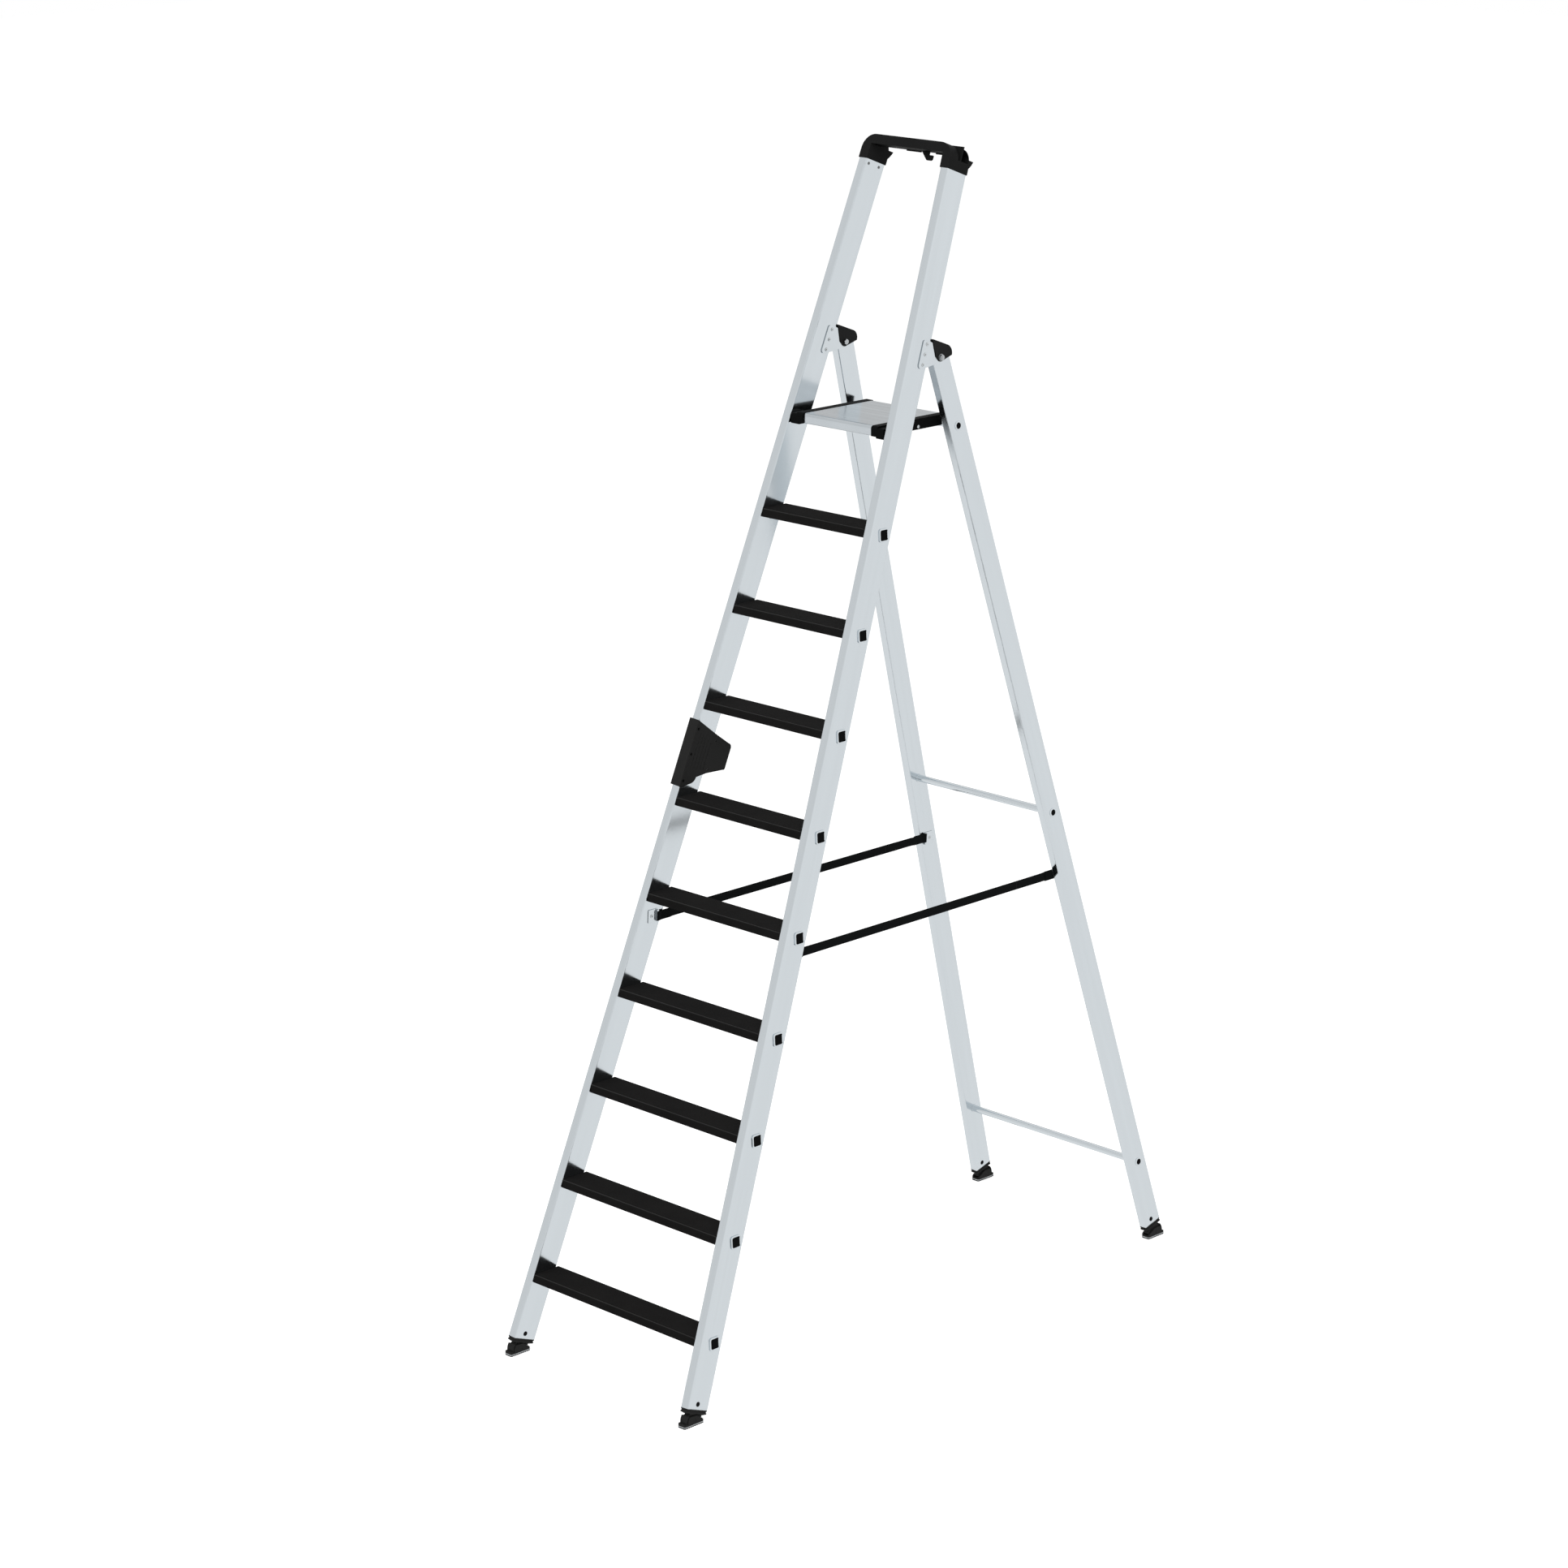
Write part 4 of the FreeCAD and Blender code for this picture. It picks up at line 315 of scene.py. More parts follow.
# Aluminium: its colours, and how fine its patterns are, in cycles to the metre
ALUMINIUM = (0.645, 0.69, 0.72)
DECK_METAL = (0.575, 0.615, 0.644)
DIE_LINES = 900
SHEEN_ACROSS = 60
SHEEN_ALONG = 1.2
SCUFFS = 40
SCUFF_EDGE = 0.0009
SCUFF_TINT = 0.86
DECK_BANDS = (3.0, 66, 1)


def aluminium(name, lean=0.0, tilt=0.0, colour=ALUMINIUM, rough=0.13, along=(1, 1, 0.01),
              corner=0.0007, bands=0.0, crevice_shade_reach=0.0):
    """Bright extruded aluminium: die lines along the profile, slow changes of sheen, scuffed edges, and
    painted shade in crevices when a reach is given.
    """
    material, tree, output = new_material(name)
    lines = local_axes(tree, lean, tilt, tuple(DIE_LINES * a for a in along))
    fine = node(tree, "TexNoise", {
        "Vector": lines, "Scale": 1.0, "Detail": 4.0, "Roughness": 0.7,
    }).outputs["Fac"]
    broad = local_axes(tree, lean, tilt, tuple(SHEEN_ACROSS * a + SHEEN_ALONG for a in along))
    slow = node(tree, "TexNoise", {"Vector": broad, "Scale": 1.0, "Detail": 3.0}).outputs["Fac"]
    tint = cloudy_tint(tree, slow, colour, darker=0.985, lighter=1.01)
    patches = local_axes(tree, scale=(SCUFFS, SCUFFS, SCUFFS))
    wear = node(tree, "TexNoise", {"Vector": patches, "Scale": 1.0, "Detail": 6.0}).outputs["Fac"]
    patchy = mapped(tree, wear, low=0.0, high=0.5, start=0.45, end=0.7)
    worn = maths(tree, "MULTIPLY", edge_mask(tree, SCUFF_EDGE), patchy)
    surface = mixed(tree, worn, tint, (*tinted(colour, SCUFF_TINT), 1))
    sheen = mapped(tree, fine, low=rough - 0.03, high=rough + 0.04)
    gloss = maths(tree, "ADD", sheen, maths(tree, "MULTIPLY", worn, 0.2))
    normal = soft_edge(tree, corner)
    if bands:
        stripes = local_axes(tree, scale=DECK_BANDS)
        band = node(tree, "TexNoise", {"Vector": stripes, "Scale": 1.0, "Detail": 2.0}).outputs["Fac"]
        level = mapped(tree, band, low=1.0 - bands, high=1.0 + bands, start=0.32, end=0.68)
        surface = scaled(tree, surface, level)
        normal = bumped(tree, band, strength=0.3, distance=0.0006, normal=normal)
    # Painted shade: the colour is darkened in crevices narrower than the reach.
    if crevice_shade_reach:
        surface = painted_crevice_shade(tree, surface, crevice_shade_reach)
    principled(tree, output, {
        "Base Color": surface,
        "Metallic": 1.0,
        "Roughness": gloss,
        "Normal": bumped(tree, fine, strength=0.05, distance=0.0003, normal=normal),
    })
    return material


def plastic(name, colour, rough=0.55, level=0.1, grain=1500.0, edge=0.0009, painted_edge_highlight=1.5, under=1.0):
    """Moulded plastic: fine grain, faint flow marks, edges polished by handling and lightened by a
    painted highlight, painted shade on undersides.
    """
    material, tree, output = new_material(name)
    coords = local_axes(tree)
    cells = {"Vector": coords, "Scale": grain}
    fine = node(tree, "TexVoronoi", cells, feature="SMOOTH_F1").outputs["Distance"]
    flow = node(tree, "TexNoise", {"Vector": coords, "Scale": 11.0, "Detail": 5.0}).outputs["Fac"]
    tint = cloudy_tint(tree, flow, colour, darker=0.88, lighter=1.12)
    # Painted highlight: the edge mask lightens the colour along edges; it also lowers the roughness
    # there.
    edges = edge_mask(tree, edge)
    surface = mixed(tree, edges, tint, (*tinted(colour, painted_edge_highlight), 1))
    # Painted shade: faces turned downwards are darkened in the colour, down to the share given as
    # under.
    if under < 1:
        normal = node(tree, "NewGeometry").outputs["Normal"]
        facing = node(tree, "SeparateXYZ", {0: normal}).outputs["Z"]
        underside_shade = mapped(tree, facing, low=under, high=1.0, start=-0.35, end=-0.05)
        surface = scaled(tree, surface, underside_shade)
    sheen = mapped(tree, flow, low=rough - 0.04, high=rough + 0.06)
    gloss = maths(tree, "SUBTRACT", sheen, maths(tree, "MULTIPLY", edges, 0.12))
    principled(tree, output, {
        "Base Color": surface,
        "Roughness": gloss,
        "Specular IOR Level": level,
        "Normal": bumped(tree, fine, strength=0.15, distance=0.0002, normal=soft_edge(tree, edge)),
    })
    return material


def foot_plastic():
    """The feet's plastic, made once."""
    made = bpy.data.materials.get("foot_plastic")
    return made or plastic("foot_plastic", (0.0118, 0.0120, 0.0118))


def tread_plastic(name):
    """The treads' plastic: a coarse non-slip grit over a faint lengthwise ribbing."""
    material, tree, output = new_material(name)
    coords = local_axes(tree)
    cells = {"Vector": coords, "Scale": 620.0}
    grit = node(tree, "TexVoronoi", cells, feature="F1").outputs["Distance"]
    ribbing = {"Vector": coords, "Scale": 78.0, "Distortion": 0.2}
    ribs = node(tree, "TexWave", ribbing, bands_direction="Y").outputs["Fac"]
    flow = node(tree, "TexNoise", {"Vector": coords, "Scale": 14.0, "Detail": 6.0}).outputs["Fac"]
    tint = ramp(tree, flow, [(0.25, (0.0072, 0.0070, 0.0069)), (0.75, (0.0096, 0.0092, 0.0090))])
    specks = ramp(tree, grit, [(0.0, (1.35, 1.35, 1.35)), (0.5, (0.9, 0.9, 0.9))])
    surface = mixed(tree, 1.0, tint, specks, blend_type="MULTIPLY")
    height = maths(tree, "ADD", grit, maths(tree, "MULTIPLY", ribs, 0.5))
    principled(tree, output, {
        "Base Color": surface,
        "Roughness": mapped(tree, grit, low=0.7, high=0.9),
        "Specular IOR Level": 0.02,
        "Normal": bumped(tree, height, strength=0.3, distance=0.0003, normal=soft_edge(tree, 0.0006)),
    })
    return material


def steel(name, colour, crevice_shade_reach, rough=0.2):
    """Zinc-plated steel with a faint cloudy sheen and painted shade in its crevices."""
    material, tree, output = new_material(name)
    coords = local_axes(tree)
    cloudy = node(tree, "TexNoise", {"Vector": coords, "Scale": 240.0, "Detail": 5.0}).outputs["Fac"]
    tint = cloudy_tint(tree, cloudy, colour, darker=0.92, lighter=1.05)
    # The colour carries painted shade in its crevices.
    principled(tree, output, {
        "Base Color": painted_crevice_shade(tree, tint, crevice_shade_reach),
        "Metallic": 1.0,
        "Roughness": mapped(tree, cloudy, low=rough, high=rough + 0.1),
        "Normal": soft_edge(tree, 0.0004),
    })
    return material


def webbing(name, colour, light):
    """Woven polyester webbing: ribs along it, crossed by the weft, under a fine fuzz."""
    material, tree, output = new_material(name)
    coords = local_axes(tree)
    ribs = {"Vector": coords, "Scale": 190.0, "Distortion": 0.0}
    warp = node(tree, "TexWave", ribs, bands_direction="Z").outputs["Fac"]
    threads = {"Vector": coords, "Scale": 150.0, "Distortion": 0.6, "Detail": 1.0}
    weft = node(tree, "TexWave", threads, bands_direction="Y").outputs["Fac"]
    weave = maths(tree, "MULTIPLY", warp, weft)
    fuzz = node(tree, "TexNoise", {"Vector": coords, "Scale": 900.0, "Detail": 3.0}).outputs["Fac"]
    height = maths(tree, "ADD", weave, maths(tree, "MULTIPLY", fuzz, 0.3))
    principled(tree, output, {
        "Base Color": ramp(tree, weave, [(0.0, colour), (1.0, light)]),
        "Roughness": mapped(tree, fuzz, low=0.75, high=0.95),
        "Specular IOR Level": 0.03,
        "Sheen Weight": 0.02,
        "Sheen Roughness": 0.5,
        "Normal": bumped(tree, height, strength=0.6, distance=0.0004),
    })
    return material


# ---------------------------------------------------------------- stage

def camera():
    """The camera, at the ladder's right front."""
    data = bpy.data.cameras.new("camera")
    data.lens = CAMERA_LENS
    data.sensor_width = SENSOR
    data.clip_end = 100.0
    placed = bpy.data.objects.new("camera", data)
    placed.location = CAMERA_PLACE
    placed.rotation_euler = (math.radians(90 - CAMERA_ELEVATION), 0, math.radians(CAMERA_AZIMUTH))
    bpy.context.scene.collection.objects.link(placed)
    bpy.context.scene.camera = placed


def direction_level(tree, coords, direction, span, levels):
    """A level that changes with how near a direction of the surroundings is to the given one."""
    near = node(tree, "VectorMath", {0: coords, 1: Vector(direction).normalized()},
                operation="DOT_PRODUCT").outputs["Value"]
    return mapped(tree, near, *levels, *span, interpolation_type="SMOOTHSTEP")


def world():
    """White to the camera, pale walls with one darker part to glossy surfaces, plain soft light."""
    made = bpy.data.worlds.new("world")
    bpy.context.scene.world = made
    made.use_nodes = True
    tree = made.node_tree
    tree.nodes.clear()
    output = tree.nodes.new("ShaderNodeOutputWorld")
    path = node(tree, "LightPath")
    coords = node(tree, "TexCoord").outputs["Generated"]
    walls = direction_level(tree, coords, WALLS_WAY, WALLS_SPAN, WALLS_LEVEL)
    beyond = direction_level(tree, coords, BEYOND_WAY, BEYOND_SPAN, BEYOND_LEVEL)
    walls = maths(tree, "MULTIPLY", walls, beyond)
    seen, glossy, soft = [
        node(tree, "Background", {"Color": grey(1.0), "Strength": strength}).outputs[0]
        for strength in (1.0, walls, SOFT_LEVEL)
    ]
    lit = soft
    rays = (("Is Glossy Ray", glossy), ("Is Transmission Ray", seen), ("Is Camera Ray", seen))
    for ray, shown in rays:
        lit = node(tree, "MixShader", {0: path.outputs[ray], 1: lit, 2: shown}).outputs[0]
    tree.links.new(lit, output.inputs["Surface"])


def floor():
    """A plain pale floor that keeps the ladder's shadow; only reflections see its dark patch."""
    half = FLOOR_HALF
    mesh = bpy.data.meshes.new("floor")
    corners = [(-half, -half, 0), (half, -half, 0), (half, half, 0), (-half, half, 0)]
    mesh.from_pydata(corners, [], [(0, 1, 2, 3)])
    made = bpy.data.objects.new("floor", mesh)
    bpy.context.scene.collection.objects.link(made)
    material, tree, output = new_material("floor_white")
    path = node(tree, "LightPath")
    grain = node(tree, "TexNoise", {"Scale": 3.0}).outputs["Fac"]
    tint = ramp(tree, grain, [(share, (white,) * 3) for share, white in enumerate(FLOOR_WHITE)])
    matt = node(tree, "BsdfDiffuse", {"Color": tint}).outputs[0]
    lift = node(tree, "Emission", {"Color": grey(1.0), "Strength": FLOOR_LIFT}).outputs[0]
    place = node(tree, "TexCoord").outputs["Object"]
    away = node(tree, "VectorMath", {0: place, 1: DARK_PLACE}, operation="DISTANCE").outputs["Value"]
    shade = mapped(tree, away, *DARK_LEVEL, *DARK_SPAN, interpolation_type="SMOOTHSTEP")
    white = node(tree, "Emission", {"Color": grey(1.0), "Strength": shade}).outputs[0]
    lifted = node(tree, "AddShader", {0: matt, 1: lift}).outputs[0]
    seen = node(tree, "MixShader", {0: path.outputs["Is Camera Ray"], 1: matt, 2: lifted}).outputs[0]
    mirrored = node(tree, "MixShader", {0: path.outputs["Is Glossy Ray"], 1: seen, 2: white}).outputs[0]
    tree.links.new(mirrored, output.inputs["Surface"])
    mesh.materials.append(material)


def area_light(name, place, size, power):
    """One round soft box aimed at the ladder, kept out of the metal's reflections."""
    data = bpy.data.lights.new(name, "AREA")
    data.shape = "DISK"
    data.size = size
    data.energy = power
    placed = bpy.data.objects.new(name, data)
    placed.location = place
    placed.visible_glossy = False
    aim = Vector(LIGHT_TARGET) - Vector(place)
    placed.rotation_euler = aim.to_track_quat("-Z", "Y").to_euler()
    bpy.context.scene.collection.objects.link(placed)


def lights():
    """A big soft key from above and a weaker fill."""
    area_light("key_light", place=(3.5, -3.0, 7.0), size=5.0, power=320.0)
    area_light("fill_light", place=(-4.0, -5.0, 4.5), size=4.0, power=120.0)


# ---------------------------------------------------------------- finishes on the CAD nodes

def cover(names, material):
    """Gives CAD nodes a material."""
    for name in names:
        slots = NODES[name].data.materials
        slots.clear()
        slots.append(material)


def named(*parts):
    """CAD nodes whose names hold any of the parts."""
    return [name for name in NODES if any(part in name for part in parts)]


def finishes():
    """A material for every CAD node."""
    for name, letter, lean, tilt, corner in (
        ("left_front_stile", "a", FRONT_LEAN, -TAPER, FRONT_STILE_SOFT),
        ("right_front_stile", "b", FRONT_LEAN, TAPER, FRONT_STILE_SOFT),
        ("left_rear_stile", "c", -REAR_LEAN, -TAPER, LEFT_REAR_STILE_SOFT),
        ("right_rear_stile", "d", -REAR_LEAN, TAPER, RIGHT_REAR_STILE_SOFT),
    ):
        cover([name], aluminium(f"stile_aluminium_{letter}", lean, tilt, corner=corner))
    across = (0.01, 1, 1)
    deck = aluminium("deck_aluminium", colour=DECK_METAL, rough=0.2, along=across, bands=0.09)
    # Clips and plates carry painted shade in their crevices.
    sheet = aluminium("sheet_aluminium", rough=0.16, along=(1, 1, 1), crevice_shade_reach=0.0035)
    cover(named("_tube"), aluminium("tube_aluminium", along=across))
    cover(["platform_deck"], deck)
    cover([f"step_{i + 1}" for i in range(STEPS)], aluminium("step_aluminium", along=across))
    cover(named("plates", "clips"), sheet)
    cover(named("tread_"), tread_plastic("tread_plastic"))
    # The cap's undersides carry painted shade, darkened to 0.3 of their colour.
    cover(["top_tray"], plastic("cap_plastic", (0.0086, 0.0087, 0.0087), level=0.03, under=0.3))
    cover(["grip_pad"], plastic("grip_plastic", (0.0115, 0.0115, 0.0113), rough=0.62, grain=900.0))
    cover(named("cover"), plastic("cover_plastic", (0.0105, 0.0107, 0.0107), level=0.06))
    cover(named("rail"), plastic("rail_plastic", (0.0026, 0.0028, 0.0028), level=0.03))
    cover(named("plug", "shoe", "foot_pins"), foot_plastic())
    rubber = plastic("sole_rubber", (0.0130, 0.0130, 0.0128), rough=0.8, level=0.05, grain=600.0)
    cover(named("sole"), rubber)
    cover(named("pad_screws"), plastic("black_screw", (0.0012, 0.0012, 0.0012), rough=0.5, level=0.03))
    # Screws, bolts, rivets and pins carry painted shade in their crevices.
    cover(["top_tray_screws"], steel("dull_steel", (0.20, 0.205, 0.21), rough=0.3, crevice_shade_reach=0.005))
    cover(["hinge_bolts"], steel("bolt_steel", (0.48, 0.50, 0.51), rough=0.24, crevice_shade_reach=0.004))
    cover(named("rivets", "pivot_pins"), steel("zinc_steel", (0.58, 0.61, 0.62), crevice_shade_reach=0.003))
    cover(["hinge_bushes"], plastic("nylon", (0.6, 0.6, 0.58), rough=0.45, level=0.4, painted_edge_highlight=1.02))


# ---------------------------------------------------------------- meshes

def mesh_object(name, vertices, faces, material, smooth=True, slot="black_plastic"):
    """An object from vertices and faces, with outward normals."""
    mesh = bpy.data.meshes.new(name)
    mesh.from_pydata([tuple(v) for v in vertices], [], faces)
    shaped = bmesh.new()
    shaped.from_mesh(mesh)
    bmesh.ops.recalc_face_normals(shaped, faces=shaped.faces)
    shaped.to_mesh(mesh)
    shaped.free()
    for face in mesh.polygons:
        face.use_smooth = smooth
    mesh.materials.append(material)
    made = bpy.data.objects.new(name, mesh)
    bpy.context.scene.collection.objects.link(made)
    return made


def tube_of(rings, looped=False):
    """Vertices and faces of a body through rings of equal length, with end faces or looped."""
    count = len(rings[0])
    vertices = [point for ring in rings for point in ring]
    faces = []
    for i in range(len(rings) if looped else len(rings) - 1):
        following = (i + 1) % len(rings)
        for j in range(count):
            k = (j + 1) % count
            faces.append((i * count + j, i * count + k, following * count + k, following * count + j))
    if not looped:
        faces.append(tuple(range(count)))
        faces.append(tuple((len(rings) - 1) * count + j for j in range(count)))
    return vertices, faces


def circle(centre, one, other, radius, count):
    """Points of a circle about a centre, in the plane of two directions."""
    angles = [2 * math.pi * i / count for i in range(count)]
    return [centre + (one * math.cos(angle) + other * math.sin(angle)) * radius for angle in angles]


def rounded_rectangle(low, high, radius, parts):
    """Points round a rectangle in a plane, with each corner an arc of so many parts."""
    right, left = high[0] - radius, low[0] + radius
    top, bottom = high[1] - radius, low[1] + radius
    points = []
    for quarter, (x, y) in enumerate(((right, top), (left, top), (left, bottom), (right, bottom))):
        for i in range(parts + 1):
            angle = math.pi / 2 * (quarter + i / parts)
            points.append((x + radius * math.cos(angle), y + radius * math.sin(angle)))
    return points


def joined(bodies):
    """Several bodies' vertices and faces as one."""
    vertices, faces = [], []
    for body_vertices, body_faces in bodies:
        start = len(vertices)
        vertices += body_vertices
        faces += [tuple(start + index for index in face) for face in body_faces]
    return vertices, faces


# ---------------------------------------------------------------- straps

def smooth_step(value):
    """0 to 1 with level ends."""
    value = min(1.0, max(0.0, value))
    return value * value * (3 - 2 * value)


def band_ring(x, y, z, half, thick, slope, side):
    """One cross-section of webbing: thin in X, with slightly rounded, fuller selvedges."""
    t = thick / 2
    profile = [
        (-t, -half + t), (-t - EDGE_BULGE, -half + 2 * t), (-t, -half + 4 * t), (-t, 0.0),
        (-t, half - 4 * t), (-t - EDGE_BULGE, half - 2 * t), (-t, half - t), (-0.4 * t, half),
        (0.4 * t, half), (t, half - t), (t + EDGE_BULGE, half - 2 * t), (t, half - 4 * t), (t, 0.0),
        (t, -half + 4 * t), (t + EDGE_BULGE, -half + 2 * t), (t, -half + t),
        (0.4 * t, -half), (-0.4 * t, -half),
    ]
    return [Vector((x + across - side * slope * up, y, z + up)) for across, up in profile]


def strap_facts(side):
    """A strap's ends: each clip's distance from the middle, its inner end, and the strap's height."""
    index = 1 if side > 0 else 0
    front_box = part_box("front_strap_clips")
    rear_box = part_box("rear_strap_clips")
    strap_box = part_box("right_strap" if side > 0 else "left_strap")
    middle = (strap_box[0][2] + strap_box[1][2]) / 2
    spread = TAPER_SLOPE * (front_box[1][2] - front_box[0][2]) / 2
    front_x = abs(front_box[index][0]) - spread
    rear_x = abs(rear_box[index][0]) - spread
    return front_x, front_box[1][1], rear_x, rear_box[0][1], middle


def face_line(side, y):
    """Distance from the ladder's middle to the line between the two clips' mounting faces."""
    front_x, front_y, rear_x, rear_y, _ = strap_facts(side)
    share = (y - front_y) / (rear_y - front_y)
    return front_x + (rear_x - front_x) * share


def strap_layer(side, start, end, offset, half, slope):
    """A run of webbing: its offset from the mounting faces, half width and slope are functions of y."""
    middle = strap_facts(side)[-1]
    count = max(2, round((end - start) / STRAP_STEP))
    rings = []
    for i in range(count + 1):
        y = start + (end - start) * i / count
        x = side * (face_line(side, y) - offset(y))
        rings.append(band_ring(x, y, middle, half(y), STRAP_THICK, slope(y), side))
    return tube_of(rings)


def strap(side_name, material):
    """One strap in two runs: a long layer over both clips' barrels, a second sewn layer at each end."""
    side = SIDES[side_name]
    _, front_y, _, rear_y, _ = strap_facts(side)
    seat = CLIP_PLATE + STRAP_THICK / 2 + LAYER_GAP
    outer = seat + STRAP_THICK + LAYER_GAP
    over = CLIP_BARREL + STRAP_THICK / 2 + 2 * LAYER_GAP
    centre = (seat + outer) / 2

    def end_distance(y):
        return min(y - front_y, rear_y - y)

    def offset(y):
        away = end_distance(y)
        rise = over + (outer - over) * smooth_step((away - BARREL_END) / BARREL_FADE)
        return rise + (centre - outer) * smooth_step((away - SEWN_LONG) / CLOSE_FADE)

    def under(_):
        return seat

    def half(y):
        away = end_distance(y) - SEWN_LONG
        return SEWN_HALF + (STRAP_HALF - SEWN_HALF) * smooth_step(away / SEWN_FADE)

    def slope(y):
        return TAPER_SLOPE * (1 - smooth_step((end_distance(y) - SEWN_LONG) / TWIST_FADE))

    seam = rear_y - REAR_RUN
    front = [
        strap_layer(side, front_y - FLAP_FRONT, seam, offset, half, slope),
        strap_layer(side, front_y + LAYER_GAP, front_y + SEWN_LONG, under, half, slope),
    ]
    rear = [
        strap_layer(side, seam, rear_y + FLAP_REAR, offset, half, slope),
        strap_layer(side, rear_y - SEWN_LONG, rear_y - LAYER_GAP, under, half, slope),
    ]
    made = mesh_object(f"{side_name}_strap_webbing", *joined(front), material, slot="webbing")
    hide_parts(f"{side_name}_strap")
    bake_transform(made)
    made = mesh_object(f"{side_name}_strap_rear_webbing", *joined(rear), material, slot="webbing")
    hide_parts(f"{side_name}_strap")
    bend_at_rear(made)


def bend_at_rear(piece):
    """Bakes the placement of cloth near a rear clip into its mesh."""
    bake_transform(piece)


def stitch(place, way):
    """One thread stitch: a short capsule bulging from the webbing."""
    along = Vector(way).normalized()
    side = Vector((1, 0, 0)).cross(along)
    rings = []
    for share, size in STITCH_PROFILE:
        centre = place + along * (share * STITCH_LONG)
        rings.append(circle(centre, Vector((1, 0, 0)), side, STITCH_RADIUS * size, STITCH_CORNERS))
    return tube_of(rings)


def stitch_line(side, start, end, depth, middle):
    """A row of stitches between two (y, z) points on the sewn end's inner surface."""
    way = Vector((0, end[0] - start[0], end[1] - start[1]))
    count = max(1, int(way.length / STITCH_PITCH))
    bodies = []
    for i in range(count):
        share = (i + 0.5) / count
        y = start[0] + way.y * share
        z = start[1] + way.z * share
        x = side * (face_line(side, y) - depth - TAPER_SLOPE * z)
        bodies.append(stitch(Vector((x, y, middle + z)), way))
    return bodies


def stitches(side_name, end_name, material):
    """The sewn box and cross on one end of a strap."""
    side = SIDES[side_name]
    _, front_y, _, rear_y, middle = strap_facts(side)
    depth = CLIP_PLATE + 2 * STRAP_THICK + 2 * LAYER_GAP
    if end_name == "front":
        near, far = front_y + STITCH_START, front_y + SEWN_LONG - STITCH_INSET
    else:
        near, far = rear_y - SEWN_LONG + STITCH_INSET, rear_y - STITCH_START
    edge = SEWN_HALF - STITCH_INSET
    corners = [(near, -edge), (far, -edge), (far, edge), (near, edge)]
    bodies = []
    for start, end in ((0, 1), (1, 2), (2, 3), (3, 0), (0, 2), (1, 3)):
        bodies += stitch_line(side, corners[start], corners[end], depth, middle)
    made = mesh_object(f"{side_name}_{end_name}_strap_stitches", *joined(bodies), material,
                       slot="webbing")
    if end_name == "rear":
        bend_at_rear(made)
    else:
        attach(made, "front_frame")


def straps():
    """Both straps and their stitching."""
    cloth = webbing("webbing_black", (0.0022, 0.0028, 0.0030), (0.0048, 0.0058, 0.0062))
    thread = webbing("thread_black", (0.006, 0.0065, 0.007), (0.010, 0.0105, 0.011))
    for side_name in SIDES:
        strap(side_name, cloth)
        for end_name in ("front", "rear"):
            stitches(side_name, end_name, thread)


# ---------------------------------------------------------------- tread beads

def tread_bead(index, material):
    """The polished bead moulded along the nose of a tread."""
    low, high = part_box(f"tread_{index}")
    centre_y = low[1] + TREAD_NOSE
    centre_z = high[2] - TREAD_NOSE
    out = Vector((0, -math.sin(BEAD_SLANT), math.cos(BEAD_SLANT)))
    across = Vector((0, out.z, -out.y))
    middle = Vector((0, centre_y, centre_z)) + out * (TREAD_NOSE - BEAD_RADIUS * BEAD_SUNK)
    half = high[0] - BEAD_END - TAPER_SLOPE * TREAD_NOSE
    ends = [(-half + inset, size) for inset, size in BEAD_ENDS]
    ends += [(half - inset, size) for inset, size in reversed(BEAD_ENDS)]
    rings = [
        circle(Vector((x, 0, 0)) + middle, out, across, BEAD_RADIUS * size, BEAD_CORNERS)
        for x, size in ends
    ]
    made = mesh_object(f"tread_{index}_bead", *tube_of(rings), material)
    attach(made, "front_frame")


def tread_beads():
    """A bead on each tread."""
    material = plastic("bead_plastic", (0.0100, 0.0098, 0.0096), rough=0.45, level=0.2, edge=0.0003)
    for index in range(1, STEPS + 1):
        tread_bead(index, material)


# ---------------------------------------------------------------- foot carriers

def carrier_outline(low, high, grow):
    """The rounded rectangle round a sole, as (x, y) points."""
    low = (low[0] - grow, low[1] - grow)
    high = (high[0] + grow, high[1] + grow)
    return rounded_rectangle(low, high, CARRIER_CORNER + grow, CARRIER_PARTS)


def carrier(side_name, end_name, material):
    """The pale carrier rim bonded between a shoe and its sole."""
    low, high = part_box(f"{side_name}_{end_name}_sole")
    ease = CARRIER_EASE * (CARRIER_HIGH - CARRIER_LOW)
    levels = [
        (-CARRIER_SUNK, CARRIER_LOW), (CARRIER_PROUD * CARRIER_LIP, CARRIER_LOW),
        (CARRIER_PROUD, CARRIER_LOW + ease), (CARRIER_PROUD, CARRIER_HIGH - ease),
        (CARRIER_PROUD * CARRIER_LIP, CARRIER_HIGH), (-CARRIER_SUNK, CARRIER_HIGH),
    ]
    rings = [[Vector((x, y, z)) for x, y in carrier_outline(low, high, grow)] for grow, z in levels]
    body = tube_of(rings, looped=True)
    made = mesh_object(f"{side_name}_{end_name}_sole_carrier", *body, material, slot="rubber")
    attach(made, f"{end_name}_foot_{side_name}")


def carriers():
    """A carrier rim on each foot."""
    material = plastic("carrier_grey", (0.42, 0.44, 0.45), rough=0.5, level=0.3, edge=0.0003,
                       painted_edge_highlight=1.1)
    for side_name in SIDES:
        for end_name in ("front", "rear"):
            carrier(side_name, end_name, material)


# ---------------------------------------------------------------- foot swivels and snap buttons

